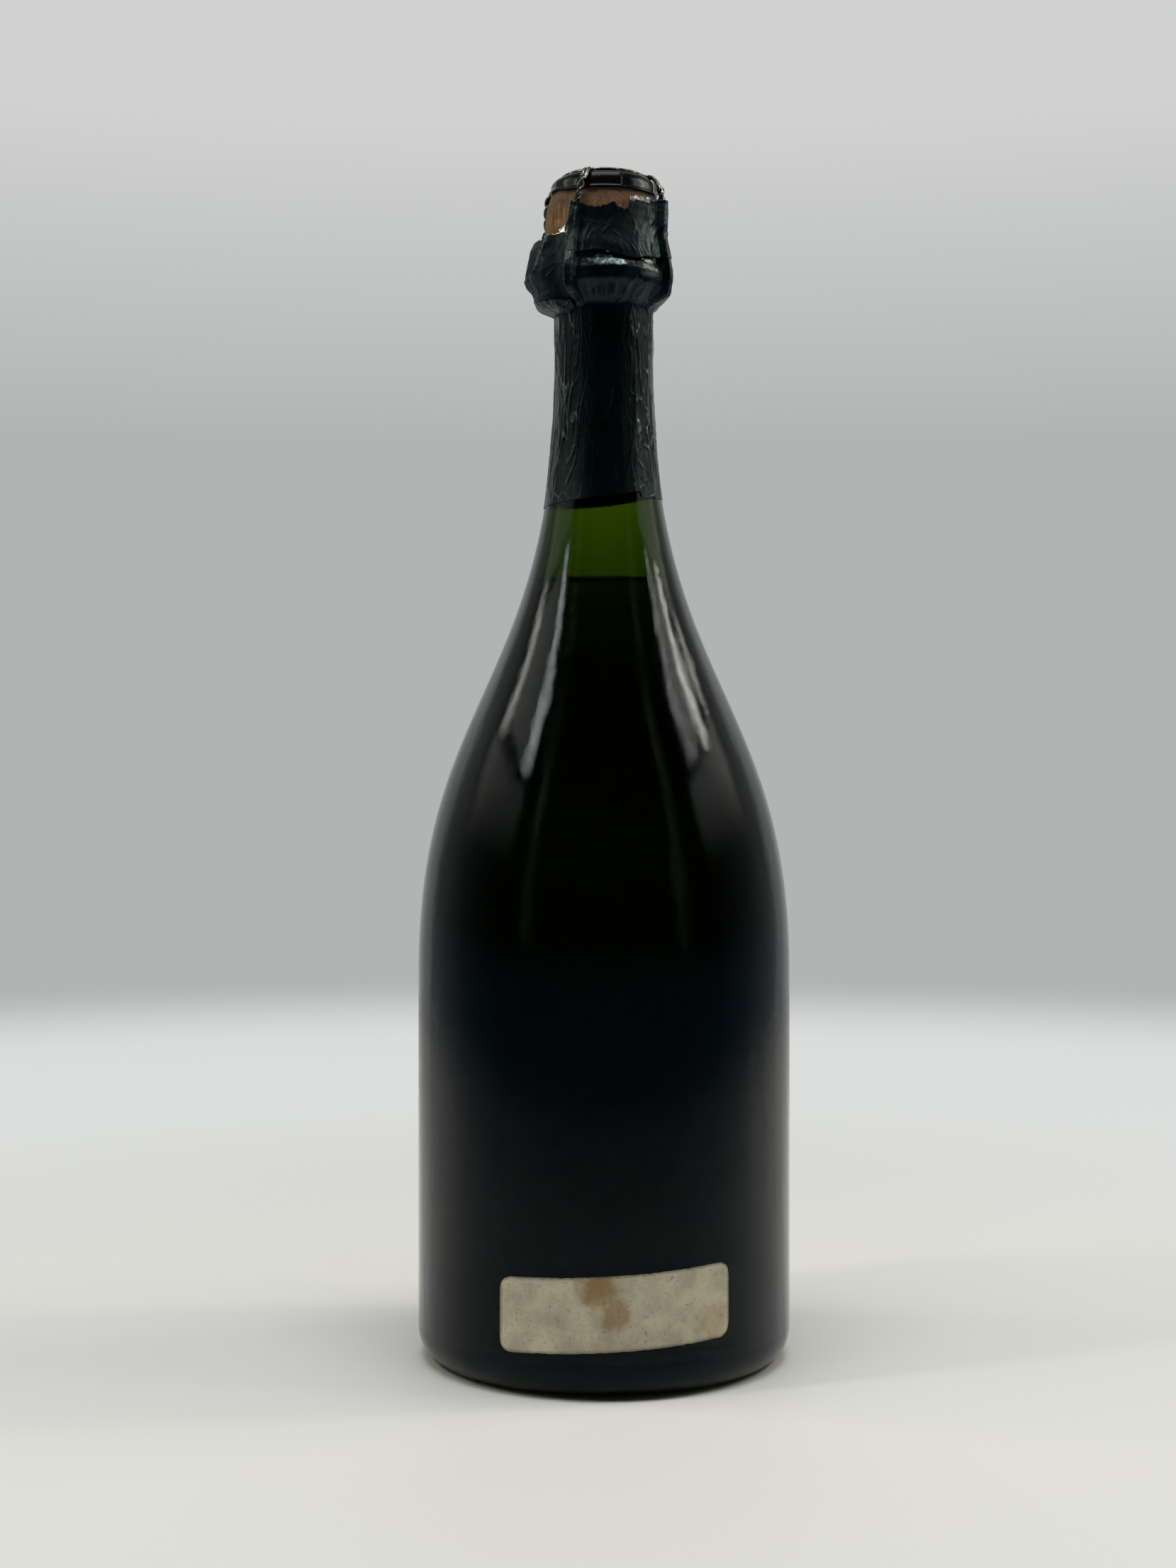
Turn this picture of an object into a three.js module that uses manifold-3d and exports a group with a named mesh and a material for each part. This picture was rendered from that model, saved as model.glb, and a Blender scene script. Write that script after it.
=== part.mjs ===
// A corked sparkling wine bottle: dark glass bottle with its wine, a mushroom cork under a metal cap,
// a twisted wire hood with its folded eye, a torn foil capsule and two paper labels.
// Millimetres, +Z up, origin on the table at the bottle's axis. The strip label faces -Y.
// Azimuths are in degrees round the axis, 0 at -Y and rising towards +X.
import * as THREE from "three";
import { mergeVertices } from "three/addons/utils/BufferGeometryUtils.js";
import Module from "manifold-3d";

// Glass bottle
const BODY_RADIUS = 47.75;
const BODY_WALL = 5.7;
const HEEL_ROUND = 8;
const STANDING_RING_WIDTH = 6;
const PUNT_HEIGHT = 28;
const PUNT_WALL = 7;
const PUNT_CROWN = 0.5; // share of the ring's radius over which the punt's crown stays flat
const PUNT_FLANK = 0.85; // and at which its flank turns down
const HEEL_WALL = 6.5;
const SIDE_TOP = 98; // the straight side ends here
const SHOULDER_RISE = 156.3; // from the straight side to the straight neck
const SHOULDER_HANDLE = 71.5; // length of the curve's upright handle at the side
const NECK_HANDLE = 83.7; // and at the neck
const BORE_HANDLE = 100; // and at the neck inside, where the glass thickens towards the shoulder
const NECK_RADIUS = 12.5;
const NECK_STRAIGHT = 16.1; // from the shoulder curve to the underside of the bague
const BORE_RADIUS = 9;
const BAGUE_RADIUS = 16.9; // the glass ring that the wire hood grips
const BAGUE_HEIGHT = 10.1;
const BAGUE_SLOPE = 0.6; // rise of its underside
const BAGUE_LOWER_ROUND = 2.4;
const LIP_ROUND = 3.2;
const MOUTH_ROUND = 0.8;

// Wine
const WINE_LEVEL = 196.7;
const WINE_CLEARANCE = 0.3;

// Cork
const CORK_SHANK_LENGTH = 24.5; // below the lip
const CORK_DISC = 5.5; // thickness of each natural cork disc at the foot of the shank
const GLUE_LINE = 0.1;
const CORK_CLEARANCE = 0.3;
const CORK_HEAD_RADIUS = 15.3;
const CORK_HEAD_HEIGHT = 19.4;
const CORK_FOOT_INSET = 2.4; // the head's underside is this much narrower than its widest part
const CORK_WIDEST = 9; // above the underside of the head
const CORK_BROW = 15.4; // above the underside of the head, where the cap's skirt begins to hold it
const CORK_BROW_INSET = 1.5;
const CORK_CROWN_INSET = 3.4;

// Metal cap on the cork
const CAP_SHEET = 0.5;
const CAP_CLEARANCE = 0.3;
const CAP_EMBOSS = 0.6;
const CAP_EMBOSS_INSET = 1.4; // from the wire ring's middle to the edge of the raised middle

// Wire hood
const WIRE_DIAMETER = 0.9;
const WIRE_CLEARANCE = 0.25;
const STRAND_GAP = 0.25;
const TOP_RING_RADIUS = 10.9;
const FIRST_LEG = -29.5;
const LEGS = 4;
const LEG_TURNS = 5; // turns of the two twisted strands
const TWIST_SHARE = 0.84; // the strands lie side by side above this share of a leg
const BELT_JOG = 9; // half angle over which the belt steps out to a leg
const EYE_JOG = 14; // and over which it steps out to the eye
const EYE_HALF_WIDTH = 4.3;
const EYE_FULLNESS = 0.7; // 1 is a lens shape, less is rounder
const EYE_TOP = 2.2; // the eye's loop ends this far above the lip
const EYE_BULGE = 1.1; // the folded loop stands this much further off the bague at its middle

// Foil capsule
const FOIL_SHEET = 0.35;
const FOIL_CLEARANCE = 0.25;
const SKIRT_BOTTOM = 218.4;
const SKIRT_SLANT = 1.2; // half the height between the skirt's low left and high right edge
const TEAR_BELOW_LIP = 2.2; // the tear between collar and hat
const TEAR_GAP = 0.6;
const HAT_TOP = 11; // above the lip, lowest bite of the torn edge
const HAT_RAGGED = 3; // height of the torn edge's tongues
const HAT_TONGUES = 7; // tongues in a full turn, and the smaller nicks between them
const HAT_NICKS = 13;
const NICK_SHARE = 0.36; // of the ragged height
const NICK_TURN = 40; // degrees by which the nicks are out of step
const FOIL_START = -36; // the foil runs from here, past the front and the right side
const FOIL_END = 246; // to here
const FLAP_GAP = 2.5; // tear beside the eye flap, in degrees
const FLAP_SPAN = 60;
const FLAP_TOP = 4.6; // above the lip
const FLAP_CURL = 1.1; // the flap's far edge curls out by this much
const LEG_COVER = 4.2; // half angle of the foil's ridge over a leg
const RIDGE_FOOT = 8.6; // half angle at the foot of that ridge
const RIDGE_AT_TUCK = 0.8; // share of the ridge that shows where the foil tucks in under the bague

// Labels
const LABEL_SHEET = 0.3;
const LABEL_CLEARANCE = 0.25;
const STRIP_LENGTH = 58.5;
const STRIP_HEIGHT = 18;
const STRIP_CORNER = 3;
const STRIP_AZIMUTH = 3.3;
const STRIP_MIDDLE = 20.3;
const STRIP_TILT = 2.9;
const MAIN_LABEL_LENGTH = 88;
const MAIN_LABEL_HEIGHT = 62;
const MAIN_LABEL_CORNER = 4;
const MAIN_LABEL_AZIMUTH = 180;
const MAIN_LABEL_MIDDLE = 62;
const MAIN_LABEL_TILT = 0;

// Facets
const ROUND_STEPS = 36;
const CURVE_STEPS = 10;
const FEW_STEPS = 5;
const SMALL_STEPS = 4;
const WIRE_SIDES = 5;
const STEPS_PER_TURN = 6;

// Heights and radii that several pieces share
const NECK_START = SIDE_TOP + SHOULDER_RISE;
const BAGUE_BOTTOM = NECK_START + NECK_STRAIGHT;
const LIP = BAGUE_BOTTOM + BAGUE_HEIGHT;
const CORK_TOP = LIP + CORK_CLEARANCE + CORK_HEAD_HEIGHT;
const CAP_TOP = CORK_TOP + CAP_CLEARANCE + CAP_SHEET;
const WIRE_RADIUS = WIRE_DIAMETER / 2;
const RING_HEIGHT = CAP_TOP + WIRE_CLEARANCE + WIRE_RADIUS;
const STRAND_OFFSET = (WIRE_DIAMETER + STRAND_GAP) / 2;
const PAIR_RADIUS = STRAND_OFFSET + WIRE_RADIUS;
const LEG_OFF = WIRE_CLEARANCE + PAIR_RADIUS; // a leg's middle stands this far off what it lies on
const LEG_AT_BAGUE = BAGUE_RADIUS + LEG_OFF;
const LEG_AT_CORK = CORK_HEAD_RADIUS + LEG_OFF;
const BELT_HEIGHT = BAGUE_BOTTOM - WIRE_CLEARANCE - WIRE_RADIUS;
const BELT_RADIUS = NECK_RADIUS + WIRE_CLEARANCE + WIRE_RADIUS;
const EYE_RADIUS = BAGUE_RADIUS + WIRE_CLEARANCE + WIRE_RADIUS; // clears the bague as the hood is lifted
const BELT_AT_EYE = EYE_RADIUS - WIRE_DIAMETER - WIRE_CLEARANCE;
const EYE_AZIMUTH = FIRST_LEG - 180 / LEGS;
const LEG_AZIMUTHS = Array.from({ length: LEGS }, (_, leg) => FIRST_LEG + (leg * 360) / LEGS);
const CAP_EDGE_HEIGHT = LIP + CORK_CLEARANCE + CORK_BROW;
const CAP_EDGE_RADIUS = CORK_HEAD_RADIUS - CORK_BROW_INSET + CAP_CLEARANCE + CAP_SHEET;
const CAP_CROWN_RADIUS = CORK_HEAD_RADIUS - CORK_CROWN_INSET + CAP_CLEARANCE + CAP_SHEET;
const TEAR_HEIGHT = LIP - TEAR_BELOW_LIP;

const wasm = await Module();
wasm.setup();

const { degToRad: radians, radToDeg: degrees, smoothstep: smooth, lerp, mapLinear } = THREE.MathUtils;
const HALVINGS = 40; // steps of a search by halves

// A point at an azimuth, a distance from the axis and a height.
function at(azimuth, radius, height) {
  const angle = radians(azimuth);
  return new THREE.Vector3(radius * Math.sin(angle), -radius * Math.cos(angle), height);
}

// Outlines in the half plane of radius and height, drawn point by point.
class Outline {
  constructor(radius, height) {
    this.points = [new THREE.Vector2(radius, height)];
  }
  line(radius, height) {
    this.points.push(new THREE.Vector2(radius, height));
    return this;
  }
  follow(curve, steps) {
    this.points.push(...curve.getPoints(steps).slice(1));
    return this;
  }
  // A rounded corner from the last point to the given one.
  round(cornerRadius, cornerHeight, radius, height, steps = SMALL_STEPS) {
    const corner = new THREE.Vector2(cornerRadius, cornerHeight);
    const end = new THREE.Vector2(radius, height);
    return this.follow(new THREE.QuadraticBezierCurve(this.points.at(-1), corner, end), steps);
  }
}

// The solid that an outline sweeps round the axis.
function turned(outline) {
  return new THREE.LatheGeometry(outline.points, ROUND_STEPS).rotateX(Math.PI / 2);
}

// The shoulder's curve between two radii, for the outside and the inside of the glass.
function shoulder(bodyRadius, neckRadius, neckHandle) {
  return new THREE.CubicBezierCurve(
    new THREE.Vector2(bodyRadius, SIDE_TOP),
    new THREE.Vector2(bodyRadius, SIDE_TOP + SHOULDER_HANDLE),
    new THREE.Vector2(neckRadius, NECK_START - neckHandle),
    new THREE.Vector2(neckRadius, NECK_START),
  );
}

// The place along a rising curve where it reaches a height.
function shareAtHeight(curve, height) {
  let low = 0;
  let high = 1;
  for (let halving = 0; halving < HALVINGS; halving++) {
    const middle = (low + high) / 2;
    if (curve.getPoint(middle).y < height) low = middle;
    else high = middle;
  }
  return low;
}

// Outer radius of the faceted glass at a height on the shoulder or the neck.
function glassRadius(height) {
  if (height >= NECK_START) return NECK_RADIUS;
  const points = shoulder(BODY_RADIUS, NECK_RADIUS, NECK_HANDLE).getPoints(CURVE_STEPS);
  const above = points.findIndex((point) => point.y > height);
  const [low, high] = [points[above - 1], points[above]];
  return mapLinear(height, low.y, high.y, low.x, high.x);
}

// The punt's dome from its crown to its foot.
function punt(footRadius, crown, flank, foot) {
  return new THREE.CubicBezierCurve(
    new THREE.Vector2(0, crown),
    new THREE.Vector2(footRadius * PUNT_CROWN, crown),
    new THREE.Vector2(footRadius * PUNT_FLANK, flank),
    new THREE.Vector2(footRadius, foot),
  );
}

// The bottle's hollow from the top of the punt up to the side, drawn in by a clearance.
function hollowFloor(clearance) {
  const wall = BODY_RADIUS - BODY_WALL - clearance;
  const floor = HEEL_WALL + clearance;
  const ring = BODY_RADIUS - HEEL_ROUND - STANDING_RING_WIDTH / 2;
  const crown = PUNT_HEIGHT + PUNT_WALL + clearance;
  return new Outline(0, crown)
    .follow(punt(ring, crown, floor, floor), FEW_STEPS)
    .round(wall, floor, wall, floor + wall - ring);
}

function glassBottle() {
  const ringOuter = BODY_RADIUS - HEEL_ROUND;
  const ringInner = ringOuter - STANDING_RING_WIDTH;
  const heel = new THREE.EllipseCurve(ringOuter, HEEL_ROUND, HEEL_ROUND, HEEL_ROUND, -Math.PI / 2, 0);
  const underside = BAGUE_BOTTOM + BAGUE_SLOPE;
  const outline = new Outline(0, PUNT_HEIGHT)
    .follow(punt(ringInner, PUNT_HEIGHT, PUNT_HEIGHT / 2, 0), FEW_STEPS)
    .line(ringOuter, 0)
    .follow(heel, SMALL_STEPS)
    .line(BODY_RADIUS, SIDE_TOP)
    .follow(shoulder(BODY_RADIUS, NECK_RADIUS, NECK_HANDLE), CURVE_STEPS)
    .line(NECK_RADIUS, BAGUE_BOTTOM)
    .line(BAGUE_RADIUS - BAGUE_LOWER_ROUND, underside)
    .round(BAGUE_RADIUS, underside, BAGUE_RADIUS, underside + BAGUE_LOWER_ROUND)
    .line(BAGUE_RADIUS, LIP - LIP_ROUND)
    .round(BAGUE_RADIUS, LIP, BAGUE_RADIUS - LIP_ROUND, LIP)
    .line(BORE_RADIUS + MOUTH_ROUND, LIP)
    .round(BORE_RADIUS, LIP, BORE_RADIUS, LIP - MOUTH_ROUND, 2)
    .line(BORE_RADIUS, NECK_START);
  const inside = shoulder(BODY_RADIUS - BODY_WALL, BORE_RADIUS, BORE_HANDLE).getPoints(CURVE_STEPS);
  outline.points.push(...inside.reverse().slice(1));
  outline.points.push(...hollowFloor(0).points.reverse());
  return turned(outline);
}

function wine() {
  const outline = hollowFloor(WINE_CLEARANCE);
  const wall = BODY_RADIUS - BODY_WALL - WINE_CLEARANCE;
  const curve = shoulder(wall, BORE_RADIUS - WINE_CLEARANCE, BORE_HANDLE);
  const top = shareAtHeight(curve, WINE_LEVEL);
  for (let step = 0; step <= CURVE_STEPS; step++) {
    const point = curve.getPoint((top * step) / CURVE_STEPS);
    outline.line(point.x, point.y);
  }
  outline.line(0, outline.points.at(-1).y);
  return turned(outline);
}

const SHANK_FOOT = LIP - CORK_SHANK_LENGTH;
const SHANK_RADIUS = BORE_RADIUS - CORK_CLEARANCE;

// One glued disc of natural cork, counted from the foot of the shank.
function corkDisc(number) {
  const foot = SHANK_FOOT + number * (CORK_DISC + GLUE_LINE);
  const top = foot + CORK_DISC;
  return turned(new Outline(0, foot).line(SHANK_RADIUS, foot).line(SHANK_RADIUS, top).line(0, top));
}

function corkBody() {
  const foot = SHANK_FOOT + 2 * (CORK_DISC + GLUE_LINE);
  const under = LIP + CORK_CLEARANCE;
  return turned(
    new Outline(0, foot)
      .line(SHANK_RADIUS, foot)
      .line(SHANK_RADIUS, under)
      .line(CORK_HEAD_RADIUS - CORK_FOOT_INSET, under)
      .round(CORK_HEAD_RADIUS, under + CORK_WIDEST / 3, CORK_HEAD_RADIUS, under + CORK_WIDEST)
      .round(
        CORK_HEAD_RADIUS,
        under + (CORK_WIDEST + CORK_BROW) / 2,
        CORK_HEAD_RADIUS - CORK_BROW_INSET,
        under + CORK_BROW,
      )
      .line(CORK_HEAD_RADIUS - CORK_CROWN_INSET, CORK_TOP)
      .line(0, CORK_TOP),
  );
}

// A pressed cap: a raised middle, a seat for the wire ring and a sloping skirt over the cork's brow.
function cap() {
  const emboss = TOP_RING_RADIUS - CAP_EMBOSS_INSET;
  return turned(
    new Outline(0, CAP_TOP - CAP_SHEET)
      .line(CAP_CROWN_RADIUS - CAP_SHEET, CAP_TOP - CAP_SHEET)
      .line(CAP_EDGE_RADIUS - CAP_SHEET, CAP_EDGE_HEIGHT)
      .line(CAP_EDGE_RADIUS, CAP_EDGE_HEIGHT)
      .line(CAP_CROWN_RADIUS, CAP_TOP)
      .line(emboss + CAP_EMBOSS, CAP_TOP)
      .line(emboss, CAP_TOP + CAP_EMBOSS)
      .line(0, CAP_TOP + CAP_EMBOSS),
  );
}

const STEEP = 0.9; // a wire that rises more steeply than this starts from a level normal

// A round wire along a list of points, closed into a ring or capped at both ends.
function wire(points, ring = false) {
  const count = points.length;
  const positions = [];
  const faces = [];
  let normal = null;
  points.forEach((point, step) => {
    const before = points[ring ? (step + count - 1) % count : Math.max(step - 1, 0)];
    const after = points[ring ? (step + 1) % count : Math.min(step + 1, count - 1)];
    const along = after.clone().sub(before).normalize();
    normal ??= Math.abs(along.z) < STEEP ? new THREE.Vector3(0, 0, 1) : new THREE.Vector3(1, 0, 0);
    normal.addScaledVector(along, -normal.dot(along)).normalize();
    const side = along.clone().cross(normal);
    for (let corner = 0; corner < WIRE_SIDES; corner++) {
      const angle = (corner * 2 * Math.PI) / WIRE_SIDES;
      const place = point.clone().addScaledVector(normal, WIRE_RADIUS * Math.cos(angle));
      positions.push(...place.addScaledVector(side, WIRE_RADIUS * Math.sin(angle)).toArray());
    }
  });
  const corner = (step, number) => (step % count) * WIRE_SIDES + (number % WIRE_SIDES);
  for (let step = 0; step < (ring ? count : count - 1); step++) {
    for (let number = 0; number < WIRE_SIDES; number++) {
      const a = corner(step, number);
      const b = corner(step, number + 1);
      const c = corner(step + 1, number + 1);
      const d = corner(step + 1, number);
      faces.push(a, b, c, a, c, d);
    }
  }
  if (!ring) {
    for (let number = 1; number < WIRE_SIDES - 1; number++) {
      faces.push(corner(0, 0), corner(0, number + 1), corner(0, number));
      faces.push(corner(count - 1, 0), corner(count - 1, number), corner(count - 1, number + 1));
    }
  }
  return closedGeometry(positions, faces);
}

function closedGeometry(positions, faces) {
  const geometry = new THREE.BufferGeometry();
  geometry.setAttribute("position", new THREE.Float32BufferAttribute(positions, 3));
  geometry.setIndex(faces);
  return geometry;
}

// Middle line of a hood leg in radius and height, from the belt up to the top ring.
const LEG_LINE = new THREE.CatmullRomCurve3(
  [
    [LEG_AT_BAGUE, BELT_HEIGHT + WIRE_RADIUS + WIRE_CLEARANCE],
    [LEG_AT_BAGUE, LIP - LIP_ROUND],
    [LEG_AT_CORK, LIP + CORK_CLEARANCE + CORK_WIDEST / 2],
    [LEG_AT_CORK, LIP + CORK_CLEARANCE + CORK_WIDEST],
    [CAP_EDGE_RADIUS + LEG_OFF, CAP_EDGE_HEIGHT],
    [CAP_CROWN_RADIUS + WIRE_CLEARANCE + WIRE_RADIUS, RING_HEIGHT - WIRE_RADIUS],
    [TOP_RING_RADIUS, RING_HEIGHT],
  ].map(([radius, height]) => new THREE.Vector3(radius, height, 0)),
);

// One strand of a twisted leg, on the leg's left (-1) or right (1) where it joins the top ring.
function strand(azimuth, side) {
  const steps = Math.round((LEG_TURNS * STEPS_PER_TURN) / TWIST_SHARE);
  const tangent = at(azimuth + 90, 1, 0);
  return LEG_LINE.getSpacedPoints(steps).map((point, step) => {
    const share = step / steps;
    const slope = LEG_LINE.getTangentAt(share);
    const outward = at(azimuth, slope.y, -slope.x);
    const untwisted = Math.max(0, TWIST_SHARE - share) / TWIST_SHARE;
    const turn = untwisted * LEG_TURNS * 2 * Math.PI;
    return at(azimuth, point.x, point.y)
      .addScaledVector(tangent, side * STRAND_OFFSET * Math.cos(turn))
      .addScaledVector(outward, side * STRAND_OFFSET * Math.sin(turn));
  });
}

// One hood wire: up a leg, a quarter of the top ring, and down the next leg.
function hoodWire(leg) {
  const span = 360 / LEGS;
  const shift = degrees(STRAND_OFFSET / TOP_RING_RADIUS);
  const from = LEG_AZIMUTHS[leg] + 2 * shift;
  const arc = span - 4 * shift;
  const ringSteps = ROUND_STEPS / LEGS;
  const points = strand(LEG_AZIMUTHS[leg], 1);
  for (let step = 0; step <= ringSteps; step++) {
    points.push(at(from + (arc * step) / ringSteps, TOP_RING_RADIUS, RING_HEIGHT));
  }
  points.push(...strand(LEG_AZIMUTHS[leg] + span, -1).reverse());
  return wire(points);
}

// The angle between two azimuths, however many turns apart.
function angleBetween(one, other) {
  return Math.abs(((one - other + 540) % 360) - 180);
}

// Least angle from an azimuth to any hood leg.
function angleToLeg(azimuth) {
  return Math.min(...LEG_AZIMUTHS.map((leg) => angleBetween(azimuth, leg)));
}

// The belt wire grips the neck under the bague and steps out to each leg and to the eye.
function belt() {
  const steps = 2 * ROUND_STEPS;
  const points = [];
  for (let step = 0; step < steps; step++) {
    const azimuth = FIRST_LEG + (step * 360) / steps;
    const toLeg = 1 - smooth(angleToLeg(azimuth), 0, BELT_JOG);
    const toEye = 1 - smooth(angleBetween(azimuth, EYE_AZIMUTH), 0, EYE_JOG);
    const out = (LEG_AT_BAGUE - BELT_RADIUS) * toLeg + (BELT_AT_EYE - BELT_RADIUS) * toEye;
    points.push(at(azimuth, BELT_RADIUS + out, BELT_HEIGHT));
  }
  return wire(points, true);
}

// Radius of the folded eye at a height: it bulges off the bague and leans back towards the cork.
function eyeRadius(height) {
  const middle = BAGUE_BOTTOM + BAGUE_HEIGHT / 2;
  const low = smooth(height, BELT_HEIGHT, middle);
  const high = smooth(height, middle, LIP + EYE_TOP);
  return EYE_RADIUS + EYE_BULGE * (low - high);
}

// The eye: two strands that leave the belt and turn up into one loop, folded against the bague.
function eye() {
  const loopTop = LIP + EYE_TOP;
  const loopFoot = BAGUE_BOTTOM;
  const loopSteps = 2 * CURVE_STEPS;
  const place = (sideways, height) => {
    const radius = eyeRadius(height);
    return at(EYE_AZIMUTH + degrees(sideways / radius), radius, height);
  };
  const points = [place(STRAND_OFFSET, BELT_HEIGHT)];
  for (let step = 0; step <= loopSteps; step++) {
    const around = (step * Math.PI) / loopSteps;
    const rise = Math.sin(around);
    const height = loopFoot + (loopTop - loopFoot) * rise;
    const width = lerp(STRAND_OFFSET, EYE_HALF_WIDTH, Math.sin(Math.PI * rise) ** EYE_FULLNESS);
    const sideways = step === CURVE_STEPS ? 0 : Math.sign(Math.cos(around)) * width;
    points.push(place(sideways, height));
  }
  points.push(place(-STRAND_OFFSET, BELT_HEIGHT));
  return wire(points);
}

// A thin sheet from columns of points on its outer and inner skin. Columns run with rising azimuth.
function sheet(outer, inner, ring = false) {
  const columns = outer.length;
  const rows = outer[0].length;
  const positions = [outer, inner].flat(2).flatMap((point) => point.toArray());
  const faces = [];
  const number = (skin, column, row) => (skin * columns + (column % columns)) * rows + row;
  const quad = (a, b, c, d) => faces.push(a, b, c, a, c, d);
  for (let column = 0; column < (ring ? columns : columns - 1); column++) {
    const o = (step, row) => number(0, column + step, row);
    const i = (step, row) => number(1, column + step, row);
    for (let row = 0; row < rows - 1; row++) {
      quad(o(0, row), o(1, row), o(1, row + 1), o(0, row + 1));
      quad(i(0, row + 1), i(1, row + 1), i(1, row), i(0, row));
    }
    quad(o(0, 0), i(0, 0), i(1, 0), o(1, 0));
    quad(o(0, rows - 1), o(1, rows - 1), i(1, rows - 1), i(0, rows - 1));
  }
  if (!ring) {
    for (let row = 0; row < rows - 1; row++) {
      const end = columns - 1;
      quad(number(0, 0, row), number(0, 0, row + 1), number(1, 0, row + 1), number(1, 0, row));
      quad(number(0, end, row), number(1, end, row), number(1, end, row + 1), number(0, end, row + 1));
    }
  }
  return closedGeometry(positions, faces);
}

// Foil of even thickness from a function that gives the inner skin's radii and heights at an azimuth.
function foil(azimuths, innerRows, ring = false) {
  const column = (azimuth, out) =>
    innerRows(azimuth).map(([radius, height]) => at(azimuth, radius + out, height));
  return sheet(
    azimuths.map((azimuth) => column(azimuth, FOIL_SHEET)),
    azimuths.map((azimuth) => column(azimuth, 0)),
    ring,
  );
}

// Numbers from one to another in even steps.
function evenly(from, to, steps) {
  return Array.from({ length: steps + 1 }, (_, step) => lerp(from, to, step / steps));
}

// Azimuths for foil, close together on the ridges over the legs.
function foilAzimuths(from, to) {
  const list = new Set([from, to]);
  const stride = 360 / ROUND_STEPS;
  for (const leg of LEG_AZIMUTHS.flatMap((azimuth) => [azimuth, azimuth + 360])) {
    for (const offset of [LEG_COVER, (RIDGE_FOOT + LEG_COVER) / 2, RIDGE_FOOT]) {
      list.add(leg - offset);
      list.add(leg + offset);
    }
    for (let offset = RIDGE_FOOT + stride; offset < 360 / LEGS - RIDGE_FOOT; offset += stride) {
      list.add(leg + offset);
    }
  }
  return [...list].filter((azimuth) => azimuth >= from && azimuth <= to).sort((a, b) => a - b);
}

// How much of the ridge over a leg stands at an azimuth: 1 on the leg, 0 at the ridge's foot.
function ridge(azimuth) {
  return 1 - smooth(angleToLeg(azimuth), LEG_COVER, RIDGE_FOOT);
}

const RIDGE_RADIUS = LEG_AT_BAGUE + PAIR_RADIUS + FOIL_CLEARANCE;

// The capsule's collar over the bague in one with its neck skirt, open at the eye.
function capsule() {
  const slant = (azimuth) => SKIRT_SLANT * Math.sin(radians(azimuth));
  const tuck = BELT_HEIGHT - WIRE_DIAMETER - 2 * FOIL_CLEARANCE - FOIL_SHEET;
  const rows = (azimuth) => {
    const foot = SKIRT_BOTTOM + slant(azimuth);
    const skirt = [];
    for (let step = 0; step < FEW_STEPS; step++) {
      const height = lerp(foot, NECK_START, step / FEW_STEPS);
      skirt.push([glassRadius(height) + FOIL_CLEARANCE, height]);
    }
    const neck = NECK_RADIUS + FOIL_CLEARANCE;
    const bague = BAGUE_RADIUS + FOIL_CLEARANCE;
    const collar = [
      [neck, NECK_START, 0],
      [neck, tuck - BAGUE_LOWER_ROUND / 2, 0],
      [neck + BAGUE_LOWER_ROUND / 2, tuck, RIDGE_AT_TUCK],
      [bague - BAGUE_LOWER_ROUND / 2, BELT_HEIGHT, 1],
      [bague, BAGUE_BOTTOM + BAGUE_LOWER_ROUND, 1],
      [bague, LIP - LIP_ROUND, 1],
      [bague, TEAR_HEIGHT, 1],
    ].map(([radius, height, share]) => [
      lerp(radius, RIDGE_RADIUS, share * ridge(azimuth)),
      height,
    ]);
    return [...skirt, ...collar];
  };
  const azimuths = foilAzimuths(FIRST_LEG, FIRST_LEG + 360).slice(0, -1);
  const whole = foil(azimuths, rows, true);
  const openings = evenly(FOIL_END - 360, FOIL_START, SMALL_STEPS);
  const wedge = (radius) =>
    openings.map((azimuth) => [at(azimuth, radius, tuck), at(azimuth, radius, CORK_TOP)]);
  return cut(whole, sheet(wedge(2 * RIDGE_RADIUS), wedge(BORE_RADIUS)));
}

function solid(geometry) {
  const merged = mergeVertices(geometry);
  return new wasm.Manifold(
    new wasm.Mesh({
      numProp: 3,
      vertProperties: merged.getAttribute("position").array,
      triVerts: new Uint32Array(merged.index.array),
    }),
  );
}

// The first geometry with the second taken out of it.
function cut(geometry, tool) {
  const mesh = solid(geometry).subtract(solid(tool)).getMesh();
  return closedGeometry(Array.from(mesh.vertProperties), Array.from(mesh.triVerts));
}

// Radius of a hood leg's outer side at a height.
function legOutside(height) {
  return LEG_LINE.getPoint(shareAtHeight(LEG_LINE, height)).x + PAIR_RADIUS;
}

// The torn upper part of the capsule, round the cork and the legs.
function hat() {
  const foot = TEAR_HEIGHT + TEAR_GAP;
  const rows = (azimuth) => {
    const tongue = Math.sin(radians(HAT_TONGUES * azimuth));
    const nick = Math.sin(radians(HAT_NICKS * azimuth + NICK_TURN));
    const ragged = (1 + lerp(tongue, nick, NICK_SHARE)) / 2;
    const top = LIP + HAT_TOP + HAT_RAGGED * ragged;
    const column = [];
    for (let step = 0; step <= FEW_STEPS; step++) {
      const height = lerp(foot, top, step / FEW_STEPS);
      const lean = smooth(height, foot, LIP + CORK_WIDEST);
      const plain = lerp(BAGUE_RADIUS, CORK_HEAD_RADIUS, lean) + FOIL_CLEARANCE;
      const over = Math.max(plain, legOutside(height) + FOIL_CLEARANCE);
      column.push([lerp(plain, over, ridge(azimuth)), height]);
    }
    return column;
  };
  return foil(foilAzimuths(FOIL_START, FOIL_END), rows);
}

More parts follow.
